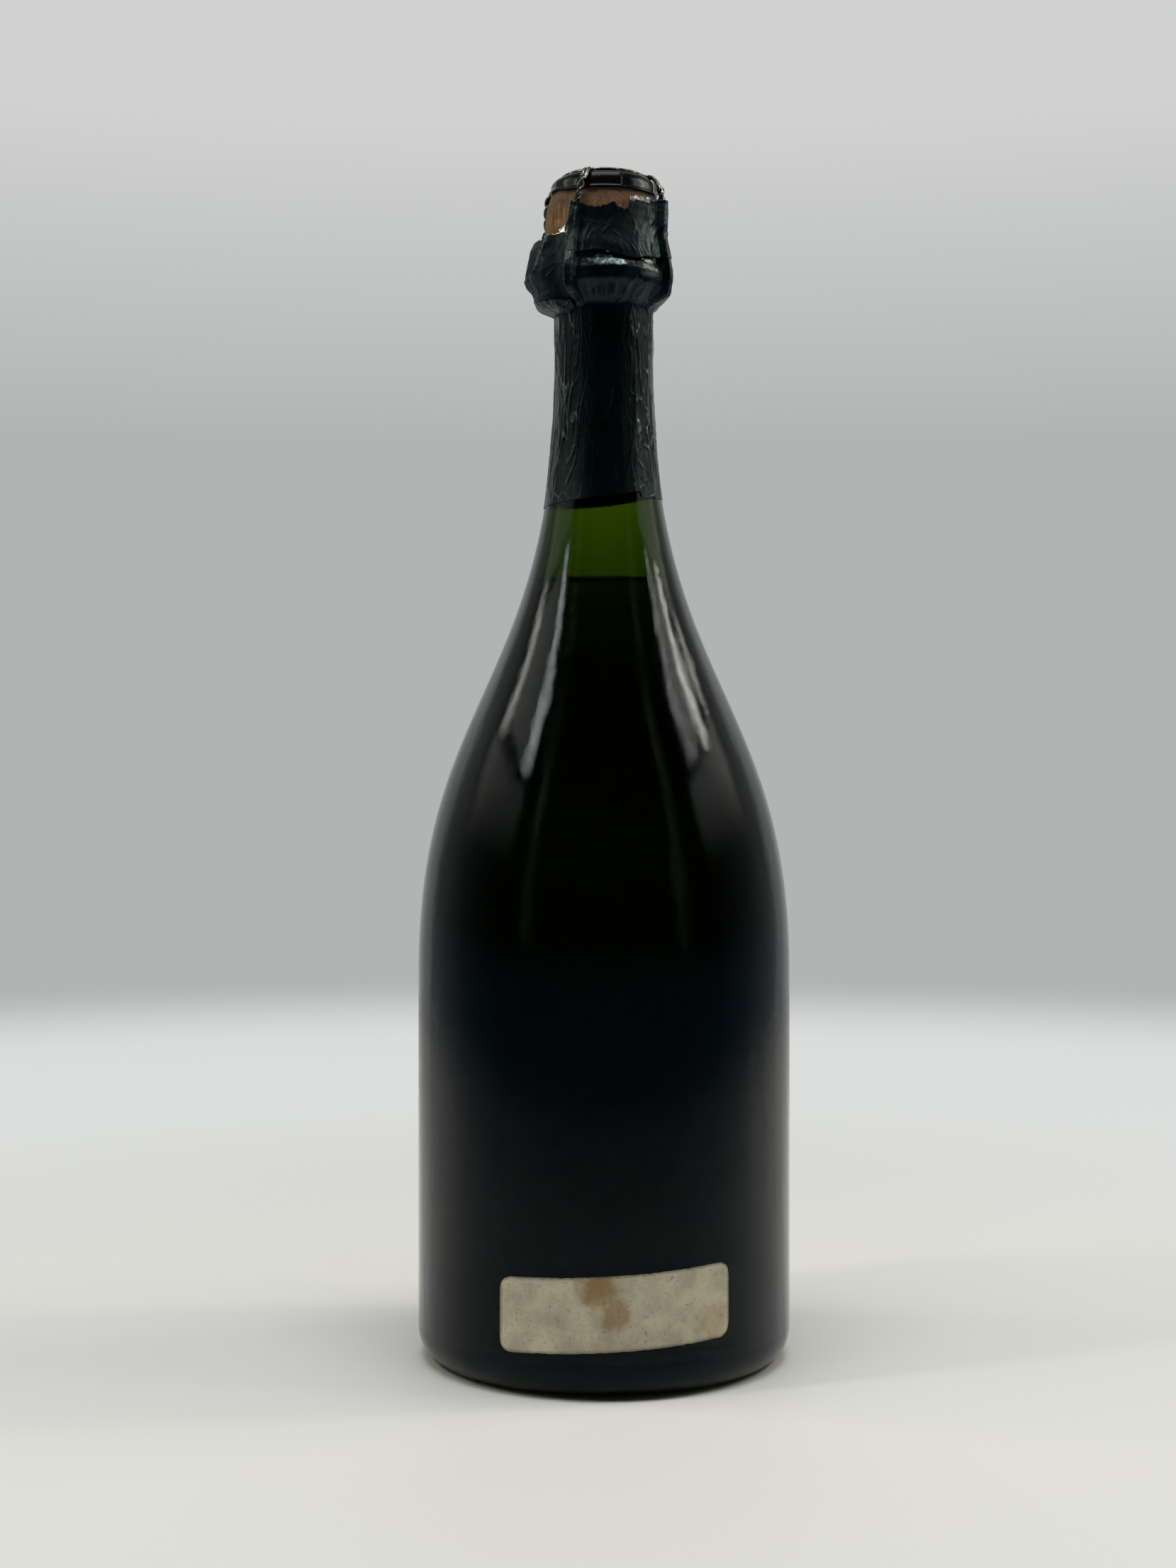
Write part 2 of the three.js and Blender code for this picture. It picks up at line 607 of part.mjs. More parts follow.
// The torn flap over the eye: it bulges over the loop, and its far edge curls out.
function eyeFlap() {
  const from = FOIL_START - FLAP_GAP - FLAP_SPAN;
  const to = FOIL_START - FLAP_GAP;
  const foot = BELT_HEIGHT - WIRE_DIAMETER - FOIL_CLEARANCE;
  const top = LIP + FLAP_TOP;
  const cover = degrees((EYE_HALF_WIDTH + WIRE_DIAMETER) / BAGUE_RADIUS);
  const azimuths = evenly(from, to, CURVE_STEPS + SMALL_STEPS);
  const rows = (azimuth) => {
    const over = 1 - smooth(Math.abs(azimuth - EYE_AZIMUTH), cover, 2 * cover);
    const curl = FLAP_CURL * (1 - smooth(azimuth, from, from + cover / 2));
    const column = [];
    for (let step = 0; step <= CURVE_STEPS; step++) {
      const height = lerp(foot, top, step / CURVE_STEPS);
      const lean = smooth(height, LIP - LIP_ROUND, top);
      const plain = lerp(BAGUE_RADIUS, CORK_HEAD_RADIUS, lean) + FOIL_CLEARANCE;
      const tent = eyeRadius(height) + WIRE_RADIUS + FOIL_CLEARANCE;
      const hang = Math.sin((Math.PI * step) / CURVE_STEPS);
      column.push([lerp(plain, Math.max(plain, tent), over) + curl * hang, height]);
    }
    return column;
  };
  return foil(azimuths, rows);
}

// A paper label with round corners, wrapped on the bottle's side.
function label(length, height, corner, azimuth, middle, tilt) {
  const inner = BODY_RADIUS + LABEL_CLEARANCE;
  const reach = length / 2 - corner; // from the label's middle to where its corners begin
  const quarter = evenly(0, Math.PI / 2, SMALL_STEPS);
  const straight = evenly(-reach, reach, CURVE_STEPS);
  // Places along the label, each with the height that the round corner cuts off there.
  const stations = [
    ...quarter.map((turn) => [-reach - corner * Math.cos(turn), corner * (1 - Math.sin(turn))]),
    ...straight.slice(1, -1).map((along) => [along, 0]),
    ...quarter.map((turn) => [reach + corner * Math.sin(turn), corner * (1 - Math.cos(turn))]),
  ];
  const skin = (radius) =>
    stations.map(([along, cutOff]) => {
      const turn = azimuth + degrees(along / inner);
      const centre = middle + along * Math.tan(radians(tilt));
      const half = height / 2 - cutOff;
      return [at(turn, radius, centre - half), at(turn, radius, centre + half)];
    });
  return sheet(skin(inner + LABEL_SHEET), skin(inner));
}

const FINISHES = {
  glass: { color: 0x0d1406, roughness: 0.06, metalness: 0 },
  wine: { color: 0x2a1604, roughness: 0.1, metalness: 0 },
  cork: { color: 0x80603e, roughness: 0.9, metalness: 0 },
  cap: { color: 0x2a2a2c, roughness: 0.25, metalness: 0.9 },
  wire: { color: 0x3a3a38, roughness: 0.3, metalness: 0.9 },
  foil: { color: 0x0c1a18, roughness: 0.4, metalness: 0.4 },
  paper: { color: 0xa89f8d, roughness: 0.9, metalness: 0 },
};

const bottle = new THREE.Group();

function add(name, geometry, finish) {
  const mesh = new THREE.Mesh(geometry, new THREE.MeshStandardMaterial(FINISHES[finish]));
  mesh.name = name;
  bottle.add(mesh);
}

add("glass_bottle", glassBottle(), "glass");
add("wine", wine(), "wine");
add("cork_lower_disc", corkDisc(0), "cork");
add("cork_upper_disc", corkDisc(1), "cork");
add("cork_body", corkBody(), "cork");
add("metal_cap", cap(), "cap");
LEG_AZIMUTHS.forEach((_, leg) => add(`hood_wire_${leg + 1}`, hoodWire(leg), "wire"));
add("belt_wire", belt(), "wire");
add("eye_wire", eye(), "wire");
add("foil_capsule", capsule(), "foil");
add("foil_hat", hat(), "foil");
add("foil_eye_flap", eyeFlap(), "foil");
add(
  "strip_label",
  label(STRIP_LENGTH, STRIP_HEIGHT, STRIP_CORNER, STRIP_AZIMUTH, STRIP_MIDDLE, STRIP_TILT),
  "paper",
);
add(
  "main_label",
  label(
    MAIN_LABEL_LENGTH,
    MAIN_LABEL_HEIGHT,
    MAIN_LABEL_CORNER,
    MAIN_LABEL_AZIMUTH,
    MAIN_LABEL_MIDDLE,
    MAIN_LABEL_TILT,
  ),
  "paper",
);

export default bottle;
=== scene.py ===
"""Models the looks of a corked sparkling wine bottle round its packed frame: the dark glass and its wine,
the mushroom cork, the pressed cap, the twisted wire hood, the torn foil and two bare paper labels.
Metres, +Z up. Azimuths are in degrees round the axis, 0 at -Y, where the camera stands, rising towards +X.
"""

import math
import random
from functools import partial

import bpy
import numpy as np
from bpy.props import FloatProperty, FloatVectorProperty, IntProperty, PointerProperty
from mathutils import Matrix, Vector, noise


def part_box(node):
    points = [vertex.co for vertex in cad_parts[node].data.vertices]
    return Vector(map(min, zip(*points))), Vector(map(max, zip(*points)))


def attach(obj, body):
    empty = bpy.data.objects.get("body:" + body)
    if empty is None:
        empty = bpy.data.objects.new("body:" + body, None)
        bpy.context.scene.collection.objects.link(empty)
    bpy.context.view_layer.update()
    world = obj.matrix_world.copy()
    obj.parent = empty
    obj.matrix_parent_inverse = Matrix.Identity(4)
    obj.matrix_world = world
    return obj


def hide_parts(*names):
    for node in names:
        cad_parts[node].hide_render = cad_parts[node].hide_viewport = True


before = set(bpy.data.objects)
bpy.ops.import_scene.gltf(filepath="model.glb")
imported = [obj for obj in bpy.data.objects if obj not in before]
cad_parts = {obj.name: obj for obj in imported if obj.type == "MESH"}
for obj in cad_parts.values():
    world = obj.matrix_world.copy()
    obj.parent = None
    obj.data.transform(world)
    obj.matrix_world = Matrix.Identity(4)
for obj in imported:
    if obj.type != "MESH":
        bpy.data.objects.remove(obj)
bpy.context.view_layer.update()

bl_info = {
    "name": "Corked sparkling wine bottle",
    "version": (1, 0, 0),
    "blender": (4, 5, 0),
    "location": "View3D > Sidebar > Bottle",
    "description": "Models the glass, cork, wire hood, torn foil and labels of a bottle",
    "category": "Add Mesh",
}

MM = 0.001
MERGE = 1e-7  # metres between points that are one
LEGS = 4

# Places that the frame gives
BODY_RADIUS, _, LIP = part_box("glass_bottle")[1]
CORK_HEAD_RADIUS, _, CORK_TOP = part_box("cork_body")[1]
CORK_BODY_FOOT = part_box("cork_body")[0][2]
SHANK_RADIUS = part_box("cork_lower_disc")[1][0]
CAP_EDGE_RADIUS, _, CAP_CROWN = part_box("metal_cap")[1]
CAP_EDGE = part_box("metal_cap")[0][2]
RING_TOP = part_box("hood_wire_1")[1][2]
BELT_HEIGHT = (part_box("belt_wire")[0][2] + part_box("belt_wire")[1][2]) / 2
WINE_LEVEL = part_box("wine")[1][2]


def linear(hex_colour):
    """Scene-linear red, green and blue of an sRGB hex colour."""
    shares = [int(hex_colour[place:place + 2], 16) / 255 for place in (1, 3, 5)]
    return tuple(s / 12.92 if s <= 0.04045 else ((s + 0.055) / 1.055) ** 2.4 for s in shares)


def length(name, millimetres, description):
    """A size that a user can change."""
    return FloatProperty(
        name=name, description=description, default=millimetres * MM, unit="LENGTH", precision=5
    )


def number(name, value, description):
    """An angle in degrees or another plain number that a user can change."""
    return FloatProperty(name=name, description=description, default=value)


def colour(name, hex_colour, description):
    """A colour that a user can change."""
    return FloatVectorProperty(
        name=name, description=description, default=linear(hex_colour), subtype="COLOR", size=3, min=0, max=1
    )


class GlassSettings(bpy.types.PropertyGroup):
    """Sizes and colours of the glass bottle and its wine."""

    body_radius: length("Body radius", BODY_RADIUS / MM, "Outer radius of the straight side")
    wall: length("Wall", 5.7, "Thickness of the side")
    heel_round: length("Heel", 8, "Round of the heel")
    ring_width: length("Standing ring", 6, "Width of the ring that the bottle stands on")
    punt_height: length("Punt", 28, "Height of the hollow under the base")
    punt_wall: length("Punt wall", 7, "Glass over the punt")
    heel_wall: length("Heel wall", 6.5, "Glass over the standing ring")
    side_top: length("Side top", 98, "Height where the straight side ends")
    shoulder_rise: length("Shoulder rise", 156.3, "From the straight side to the straight neck")
    shoulder_handle: length("Shoulder handle", 71.5, "Length of the curve's handle at the side")
    neck_handle: length("Neck handle", 83.7, "Length of the curve's handle at the neck")
    bore_handle: length("Bore handle", 100, "Length of the inner curve's handle at the neck")
    neck_radius: length("Neck radius", 12.5, "Outer radius of the neck")
    bore_radius: length("Bore radius", 9, "Radius of the bore")
    bague_radius: length("Bague radius", 16.9, "Radius of the glass ring at the mouth")
    bague_height: length("Bague height", 10.1, "Height of that ring")
    bague_slope: length("Bague slope", 0.6, "Rise of its underside")
    bague_round: length("Bague round", 2.4, "Round of its lower edge")
    lip_round: length("Lip round", 3.2, "Round of the lip's outer edge")
    mouth_round: length("Mouth round", 0.8, "Round of the lip's inner edge")
    meniscus: length("Meniscus", 1.7, "How high the wine climbs the glass")
    sink: length("Wine overlap", 0.1, "How far the wine reaches into the glass, so that no air film shows")
    glass_tint: colour("Glass", "#c8d65a", "What the glass lets through")
    glass_depth: number("Glass depth", 800, "Absorption of the glass per metre")
    wine_tint: colour("Wine", "#cbc000", "What the wine lets through")
    wine_depth: number("Wine depth", 150, "Absorption of the wine per metre")


class CorkSettings(bpy.types.PropertyGroup):
    """Sizes and colours of the cork and its cap."""

    foot_inset: length("Foot inset", 2.4, "How much narrower the head is where it meets the lip")
    widest: length("Widest", 9, "Height of the head's widest part above the lip")
    brow: length("Brow", 15.4, "Height above the lip where the cap's skirt begins")
    brow_inset: length("Brow inset", 1.2, "How much narrower the head is there")
    crown_inset: length("Crown inset", 3.4, "How much narrower the top is")
    edge: length("Edge", 1.1, "Round of the head's edges")
    roughness: length("Roughness", 0.22, "Height of the bark's bumps")
    cap_sheet: length("Cap sheet", 0.5, "Thickness of the cap")
    cap_crown_radius: length("Cap crown", 12.5, "Radius of the cap's top")
    cap_shoulder: length("Cap shoulder", 2.5, "Height of the skirt up to its bend")
    cap_shoulder_inset: length("Shoulder inset", 0.55, "How much narrower the skirt is at its bend")
    cap_boss_radius: length("Cap boss", 9.5, "Radius of the raised middle")
    cap_boss: length("Boss height", 0.6, "Height of the raised middle")
    cap_groove: length("Wire groove", 0.3, "Depth of the dents under the wires")
    cork: colour("Cork", "#8a683b", "Granules of the pressed cork")
    # Also the colour of the painted shade on the cork under the cap
    cork_dark: colour("Bark", "#4f3620", "Bark and cracks between the granules")
    cork_disc: colour("Natural cork", "#b08d63", "The two discs at the foot of the shank")
    cap: colour("Cap lacquer", "#141517", "Dark lacquer on the tinplate")


class HoodSettings(bpy.types.PropertyGroup):
    """Sizes and colours of the wire hood."""

    wire_radius: length("Wire radius", 0.5, "Radius of a strand")
    clearance: length("Clearance", 0.25, "From a wire to what it lies on")
    ring_radius: length("Ring radius", 10.9, "Radius of the ring on the cap")
    first_leg: number("First leg", -28.5, "Azimuth of the foot of the leg at the front left")
    lean: number("Lean", 9, "How far a leg turns from the lip up to the ring")
    eye: number("Eye", -74.5, "Azimuth of the eye")
    turns: number("Turns", 5, "Turns of the two strands of a leg")
    twist_share: number("Twist share", 0.84, "Share of a leg that is twisted")
    belt_jog: number("Belt jog", 5.5, "Half angle over which the belt steps out to a leg")
    eye_jog: number("Eye jog", 14, "Half angle over which it steps out to the eye")
    eye_half_width: length("Eye half width", 4.3, "Half the width of the eye's loop")
    eye_top: length("Eye top", 2.2, "Top of the eye's loop above the lip")
    eye_bulge: length("Eye bulge", 0.7, "How far the loop bows off the bague")
    wire: colour("Wire", "#45443f", "Tarnished steel wire")


class FoilSettings(bpy.types.PropertyGroup):
    """Sizes and colours of the torn foil."""

    sheet: length("Sheet", 0.13, "Thickness of the foil")
    gap: length("Gap", 0.2, "From the glass to the foil's outer skin")
    skirt_foot: length("Skirt foot", 218.4, "Mean height of the skirt's lower edge")
    skirt_slant: length("Skirt slant", 1.4, "Half the height between its low left and high right side")
    seam: number("Seam", 38, "Azimuth where the foil's end laps over its start")
    collar_radius: length("Collar radius", 17.45, "Radius of the collar over the bague")
    tear_height: length("Tear height", 279.6, "Height of the tear between collar and hat")
    tear_dip: length("Tear dip", 1.9, "How far the tear dips at the front")
    tear_gap: length("Tear gap", 0.85, "Width of the tear where it gapes")
    start: number("Start", -36, "Azimuth where the collar and hat start, right of the eye flap")
    end: number("End", 246, "Azimuth where they end, past the far side")
    flap_start: number("Flap start", -98.5, "Azimuth of the eye flap's curled edge")
    flap_end: number("Flap end", -31.2, "Azimuth of its other edge")
    flap_top: length("Flap top", 4.6, "Top of the flap above the lip")
    leaf: length("Leaf", 0.8, "How far the curled edge stands out at its tip")
    ridge_foot: number("Ridge foot", 6.6, "Half angle at the foot of the foil's ridge over a leg")
    crease: length("Crease", 0.34, "Height of the tallest wrinkles")
    seed: IntProperty(name="Seed", description="Seed of the wrinkles", default=7)
    lacquer: colour("Lacquer", "#152528", "Green-black lacquer")
    # Also the colour of the painted highlights on the leg ridges and along the collar's bend
    rubbed: colour("Rubbed", "#7d8d89", "Lacquer rubbed thin on the creases")
    bare: colour("Bare", "#c9c8c4", "Bare aluminium at the tears")


class LabelSettings(bpy.types.PropertyGroup):
    """Sizes and colours of the labels."""

    sheet: length("Sheet", 0.12, "Thickness of the paper")
    gap: length("Gap", 0.03, "From the glass to the paper")
    strip_length: length("Strip length", 58.5, "Length of the strip label")
    strip_height: length("Strip height", 18, "Height of the strip label")
    strip_corner: length("Strip corner", 3, "Round of its corners")
    strip_azimuth: number("Strip azimuth", 3.3, "Azimuth of its middle")
    strip_middle: length("Strip middle", 21.1, "Height of its middle")
    strip_tilt: number("Strip tilt", 2.9, "How far its right end is raised")
    main_length: length("Main length", 88, "Length of the main label")
    main_height: length("Main height", 62, "Height of the main label")
    main_corner: length("Main corner", 4, "Round of its corners")
    main_middle: length("Main middle", 62, "Height of its middle")
    border_inset: length("Border inset", 3.2, "From the main label's edge to its printed line")
    paper: colour("Paper", "#cfc6ad", "Aged paper")
    stain: colour("Stain", "#94774a", "Damp stain")
    grime: colour("Grime", "#665e4e", "Dirt in the fibres")
    cream: colour("Cream", "#c4b795", "Paper of the main label")
    line: colour("Line", "#5a4a2c", "Printed border of the main label")


class StageSettings(bpy.types.PropertyGroup):
    """The camera, floor and background."""

    camera_x: length("Camera x", -4.1, "Sideways place of the camera")
    camera_distance: length("Camera distance", 540.1, "From the bottle's axis to the camera")
    camera_height: length("Camera height", 146, "Height of the camera")
    lens: number("Lens", 48, "Focal length in mm on a 36 mm tall sensor")
    floor_fade: length("Floor fade", 640, "Radius where the floor begins to fade into the background")
    floor_radius: length("Floor radius", 1040, "Radius where it is gone")
    floor: colour("Floor", "#e2e4e3", "Floor")
    far_floor: colour("Far floor", "#dee0df", "Floor away from the bottle")
    low: colour("Low background", "#b0b4b3", "Background at the horizon")
    room: colour("Room", "#405f7c", "Dim room below the floor's edge, which the glass mirrors")
    high: colour("High background", "#d0d1d0", "Background above")


GROUPS = {
    "bottle_glass": GlassSettings,
    "bottle_cork": CorkSettings,
    "bottle_hood": HoodSettings,
    "bottle_foil": FoilSettings,
    "bottle_labels": LabelSettings,
    "bottle_stage": StageSettings,
}


# Geometry helpers

def at(azimuth, radius, height):
    """A point at an azimuth, a distance from the axis and a height."""
    turn = math.radians(azimuth)
    return Vector((radius * math.sin(turn), -radius * math.cos(turn), height))


def around(azimuth, radius, height):
    """The same for arrays, as rows of coordinates."""
    turn = np.radians(azimuth)
    return np.stack([radius * np.sin(turn), -radius * np.cos(turn), height + 0 * turn], axis=1)


def smooth(value, low, high):
    """A smooth step from 0 at low to 1 at high."""
    share = np.clip((value - low) / (high - low), 0, 1)
    return share * share * (3 - 2 * share)


def bell(value, middle, width):
    """A bell curve: 1 at its middle, and about a third at this width from it."""
    return np.exp(-(((value - middle) / width) ** 2))


def mix(one, other, share):
    """The value that lies this share of the way from one to the other."""
    return one + (other - one) * share


def angle_between(one, other):
    """The angle between two azimuths, however many turns apart."""
    return np.abs((one - other + 540) % 360 - 180)


class Outline:
    """A half section in radius and height, drawn point by point."""

    def __init__(self, radius, height):
        self.points = [(radius, height)]

    def line(self, radius, height):
        """A straight stretch to a point."""
        self.points.append((radius, height))
        return self

    def curve(self, first, second, end, steps):
        """A cubic curve to a point, with two handles."""
        corners = (self.points[-1], first, second, end)
        for step in range(1, steps + 1):
            t = step / steps
            weights = ((1 - t) ** 3, 3 * t * (1 - t) ** 2, 3 * t * t * (1 - t), t ** 3)
            self.line(*(sum(w * c[axis] for w, c in zip(weights, corners)) for axis in (0, 1)))
        return self

    def corner(self, middle, end, steps=8):
        """A rounded corner to a point."""
        first, second = (
            tuple(mix(p[axis], middle[axis], 2 / 3) for axis in (0, 1)) for p in (self.points[-1], end)
        )
        return self.curve(first, second, end, steps)

    def fine(self, spacing):
        """The outline with its long stretches cut into pieces of about a spacing."""
        fine = Outline(*self.points[0])
        for end in self.points[1:]:
            start = fine.points[-1]
            pieces = max(1, round(math.dist(start, end) / spacing))
            for piece in range(1, pieces + 1):
                fine.line(*(mix(start[axis], end[axis], piece / pieces) for axis in (0, 1)))
        return fine


def deselect():
    """Leaves nothing selected, so that the next operator acts on the new piece alone."""
    bpy.ops.object.select_all(action="DESELECT")


def path(points, cyclic=False):
    """A curve object along a list of points."""
    deselect()
    bpy.ops.curve.primitive_nurbs_path_add()
    curve = bpy.context.object.data
    curve.splines.clear()
    spline = curve.splines.new("POLY")
    spline.points.add(len(points) - 1)
    for control, point in zip(spline.points, points):
        control.co = (*point, 1)
    spline.use_cyclic_u = cyclic
    return curve


def weld(recalculate=True):
    """Merges the doubled points of the active mesh, and turns its faces outwards if asked."""
    bpy.ops.object.mode_set(mode="EDIT")
    bpy.ops.mesh.select_all(action="SELECT")
    bpy.ops.mesh.remove_doubles(threshold=MERGE)
    if recalculate:
        bpy.ops.mesh.normals_make_consistent(inside=False)
    bpy.ops.object.mode_set(mode="OBJECT")


def soften(sharp):
    """The active object, shaded smooth but for edges of more than this angle."""
    bpy.ops.object.shade_smooth_by_angle(angle=math.radians(sharp))
    return bpy.context.object


def lathe(outline, steps, sharp=40):
    """The solid that a half section sweeps round the axis."""
    path([(radius, 0, height) for radius, height in outline.points])
    bpy.ops.object.convert(target="MESH")
    bpy.ops.object.mode_set(mode="EDIT")
    bpy.ops.mesh.select_all(action="SELECT")
    bpy.ops.mesh.spin(steps=steps, angle=2 * math.pi, center=(0, 0, 0), axis=(0, 0, 1))
    bpy.ops.object.mode_set(mode="OBJECT")
    weld()
    return soften(sharp)


def wire(points, radius, cyclic=False):
    """A round wire along a list of points."""
    curve = path(points, cyclic)
    curve.bevel_depth = radius
    curve.bevel_resolution = 3
    curve.use_fill_caps = True
    bpy.ops.object.convert(target="MESH")
    weld()
    return soften(50)


def places(obj):
    """A mesh's points as an array of rows."""
    flat = np.empty(3 * len(obj.data.vertices))
    obj.data.vertices.foreach_get("co", flat)
    return flat.reshape(-1, 3)


def move(obj, points):
    """Sets a mesh's points from an array of rows."""
    obj.data.vertices.foreach_set("co", np.asarray(points, dtype=float).ravel())
    obj.data.update()


def polar(points):
    """Azimuth and radius of each row of an array of points."""
    return np.degrees(np.arctan2(points[:, 0], -points[:, 1])), np.hypot(points[:, 0], points[:, 1])


def push(obj, distance):
    """Moves a mesh's points away from the axis, each by its own distance."""
    points = places(obj)
    azimuth, radius = polar(points)
    move(obj, around(azimuth, radius + np.where(radius > MERGE, distance, 0), points[:, 2]))


def bumps(points, size, seed):
    """Smooth noise from -1 to 1 at each point, its bumps about a size in millimetres, or one for each axis."""
    apart = 37.3  # from one seed's noise to the next
    return np.array([noise.noise(Vector(row)) for row in points / (np.asarray(size) * MM) + apart * seed])


def sheet(place, columns, rows, thickness):
    """A thin sheet, thickened inwards: `place` gives points and marks from their shares across and up."""
    deselect()
    bpy.ops.mesh.primitive_grid_add(x_subdivisions=columns, y_subdivisions=rows, size=1)
    obj = bpy.context.object
    grid = places(obj) + 0.5
    points, marks = place(grid[:, 0], grid[:, 1])
    move(obj, points)
    for name, values in marks.items():
        layer = obj.data.attributes.new(name, "FLOAT", "POINT")
        layer.data.foreach_set("value", values)
    weld(recalculate=False)
    solidify = obj.modifiers.new("Sheet", "SOLIDIFY")
    solidify.thickness = thickness
    solidify.offset = -1
    solidify.use_even_offset = False
    bpy.ops.object.modifier_apply(modifier=solidify.name)
    return soften(50)


def finish_piece(obj, name, node, body, material):
    """Names a piece, gives it its finish and puts it in the place of its frame node."""
    obj.name = name
    obj.data.name = name
    obj.data.materials.clear()
    obj.data.materials.append(material)
    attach(obj, body)
    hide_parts(node)


# Materials

def add_node(tree, kind, *inputs, **named):
    """A shader node. Plain inputs fill its sockets in order; a named one with a capital is a socket,
    and any other a setting. An input is a value, an output, or a node, which stands for its first output."""
    node = tree.nodes.new("ShaderNode" + kind)
    stops = named.pop("stops", ())
    for name in [name for name in named if name[0].islower()]:
        setattr(node, name, named.pop(name))
    if stops:
        ramp = node.color_ramp.elements
        while len(ramp) < len(stops):
            ramp.new(0.5)
        for element, (position, shade) in zip(ramp, stops):
            element.position = position
            element.color = (*shade, 1) if np.ndim(shade) else (shade, shade, shade, 1)
    filled = list(zip((socket for socket in node.inputs if socket.enabled), inputs))
    filled += [(node.inputs[name.replace("_", " ")], value) for name, value in named.items()]
    for socket, value in filled:
        if isinstance(value, bpy.types.Node):
            value = next(output for output in value.outputs if output.enabled)
        if isinstance(value, bpy.types.NodeSocket):
            tree.links.new(value, socket)
        else:
            socket.default_value = (*value, 1) if socket.type == "RGBA" else value
    return node


def node_adder(owner):
    """What adds a node to the emptied tree of a material, a lamp or a world."""
    owner.use_nodes = True
    owner.node_tree.nodes.clear()
    return partial(add_node, owner.node_tree)


def new_material(name):
    """A material and what adds its nodes."""
    material = bpy.data.materials.new(name)
    return material, node_adder(material)


def per_cell(wide, tall):
    """Scale of a pattern with cells of a width and a height in millimetres."""
    return 1 / (wide * MM), 1 / (wide * MM), 1 / (tall * MM)


def mould_blown_glass(glass):
    """Thick green soda-lime glass from a mould: black where deep, green at the neck, faintly rippled."""
    material, add = new_material("mould_blown_glass")
    place = add("TexCoord").outputs["Object"]
    ripples, streaks, grain = (7, 45, 2, 0.4, 1), (1.1, 4, 3, 0.6, 0.22), (0.4, 1.6, 2, 0.5, 0.12)
    uneven = 0
    for wide, tall, detail, roughness, height in (ripples, streaks, grain):
        spot = add("Mapping", place, Scale=per_cell(wide, tall))
        layer = add("TexNoise", spot, 1, Detail=detail, Roughness=roughness)
        uneven = add("Math", layer, height, uneven, operation="MULTIPLY_ADD")
    bump = add("Bump", Strength=0.16, Distance=1 * MM, Height=uneven)
    shader = add(
        "BsdfPrincipled", (1, 1, 1), Roughness=0.05, IOR=1.5,
        Transmission_Weight=1, Specular_Tint=(0.19, 0.235, 0.3), Normal=bump,
    )
    add("OutputMaterial", shader, add("VolumeAbsorption", glass.glass_tint, glass.glass_depth))
    return material


def still_wine(glass):
    """Old golden wine, clear and still."""
    material, add = new_material("golden_wine")
    shader = add("BsdfPrincipled", (1, 1, 1), Roughness=0, IOR=1.34, Transmission_Weight=1)
    add("OutputMaterial", shader, add("VolumeAbsorption", glass.wine_tint, glass.wine_depth))
    return material


def pressed_cork(name, light, dark, granule):
    """Cork of pressed granules: dull, with dark seams between granules and upright cracks, and painted shade
    near its top, where the cap shades it.
    """
    material, add = new_material(name)
    place = add("TexCoord").outputs["Object"]
    cells = add("TexVoronoi", place, 1 / granule).outputs["Color"]
    seams = add("TexVoronoi", place, 1 / granule, feature="DISTANCE_TO_EDGE")
    streaks = add("TexNoise", add("Mapping", place, Scale=per_cell(1.1, 6)), 1, Detail=5, Roughness=0.65)
    grain = add("TexNoise", place, 1 / (0.7 * MM), Detail=4, Roughness=0.6)
    tone = add("Mix", 0.35, light, cells, data_type="RGBA", blend_type="OVERLAY")
    plain = add("Mix", 0.8, tone, light, data_type="RGBA", blend_type="COLOR")
    crack = add("ValToRGB", streaks, stops=((0.36, 1), (0.47, 0)))
    speck = add("ValToRGB", grain, stops=((0.34, 0.8), (0.46, 0)))
    dirt = add("Math", crack, speck, operation="MAXIMUM")
    shade = add("Mix", dirt, plain, dark, data_type="RGBA")
    # Painted shade: the cork is darkened towards its top, where the cap shades it
    height = add("SeparateXYZ", place).outputs["Z"]
    under_cap_shade = add("MapRange", height, LIP + 7 * MM, LIP + 14 * MM, 0, 0.8)
    shade = add("Mix", under_cap_shade, shade, dark, data_type="RGBA")
    relief = add("Math", seams, dirt, operation="SUBTRACT")
    bump = add("Bump", Strength=0.5, Distance=0.15 * MM, Height=relief)
    add("OutputMaterial", add("BsdfPrincipled", shade, Roughness=0.85, Normal=bump))
    return material


def lacquered_tinplate(cork):
    """Tinplate pressed into a cap under dark lacquer: glossy, with fine scuffs that show bright metal."""
    material, add = new_material("lacquered_tinplate")
    place = add("TexCoord").outputs["Object"]
    scuff = add("TexNoise", add("Mapping", place, Scale=per_cell(0.5, 2.5)), 1, Detail=4, Roughness=0.6)
    worn = add("ValToRGB", scuff, stops=((0.66, 0), (0.8, 0.7)))
    shade = add("Mix", worn, cork.cap, linear("#5c5c5e"), data_type="RGBA")
    gloss = add("MapRange", scuff, 0, 1, 0.12, 0.26)
    bump = add("Bump", Strength=0.12, Distance=0.1 * MM, Height=scuff)
    shader = add(
        "BsdfPrincipled", shade, Metallic=0.6, Roughness=gloss, Normal=bump, Specular_IOR_Level=0.12
    )
    add("OutputMaterial", shader)
    return material


def tarnished_wire(hood):
    """Drawn steel wire, tarnished dark with bright rubbed spots."""
    material, add = new_material("tarnished_steel_wire")
    spots = add("TexNoise", add("TexCoord").outputs["Object"], 1 / (1.4 * MM), Detail=3, Roughness=0.6)
    dark, bright = linear("#26251f"), linear("#a9a7a0")
    shade = add("ValToRGB", spots, stops=((0.35, dark), (0.5, hood.wire), (0.7, bright)))
    gloss = add("MapRange", spots, 0, 1, 0.42, 0.18)
    add("OutputMaterial", add("BsdfPrincipled", shade, Metallic=1, Roughness=gloss))
    return material


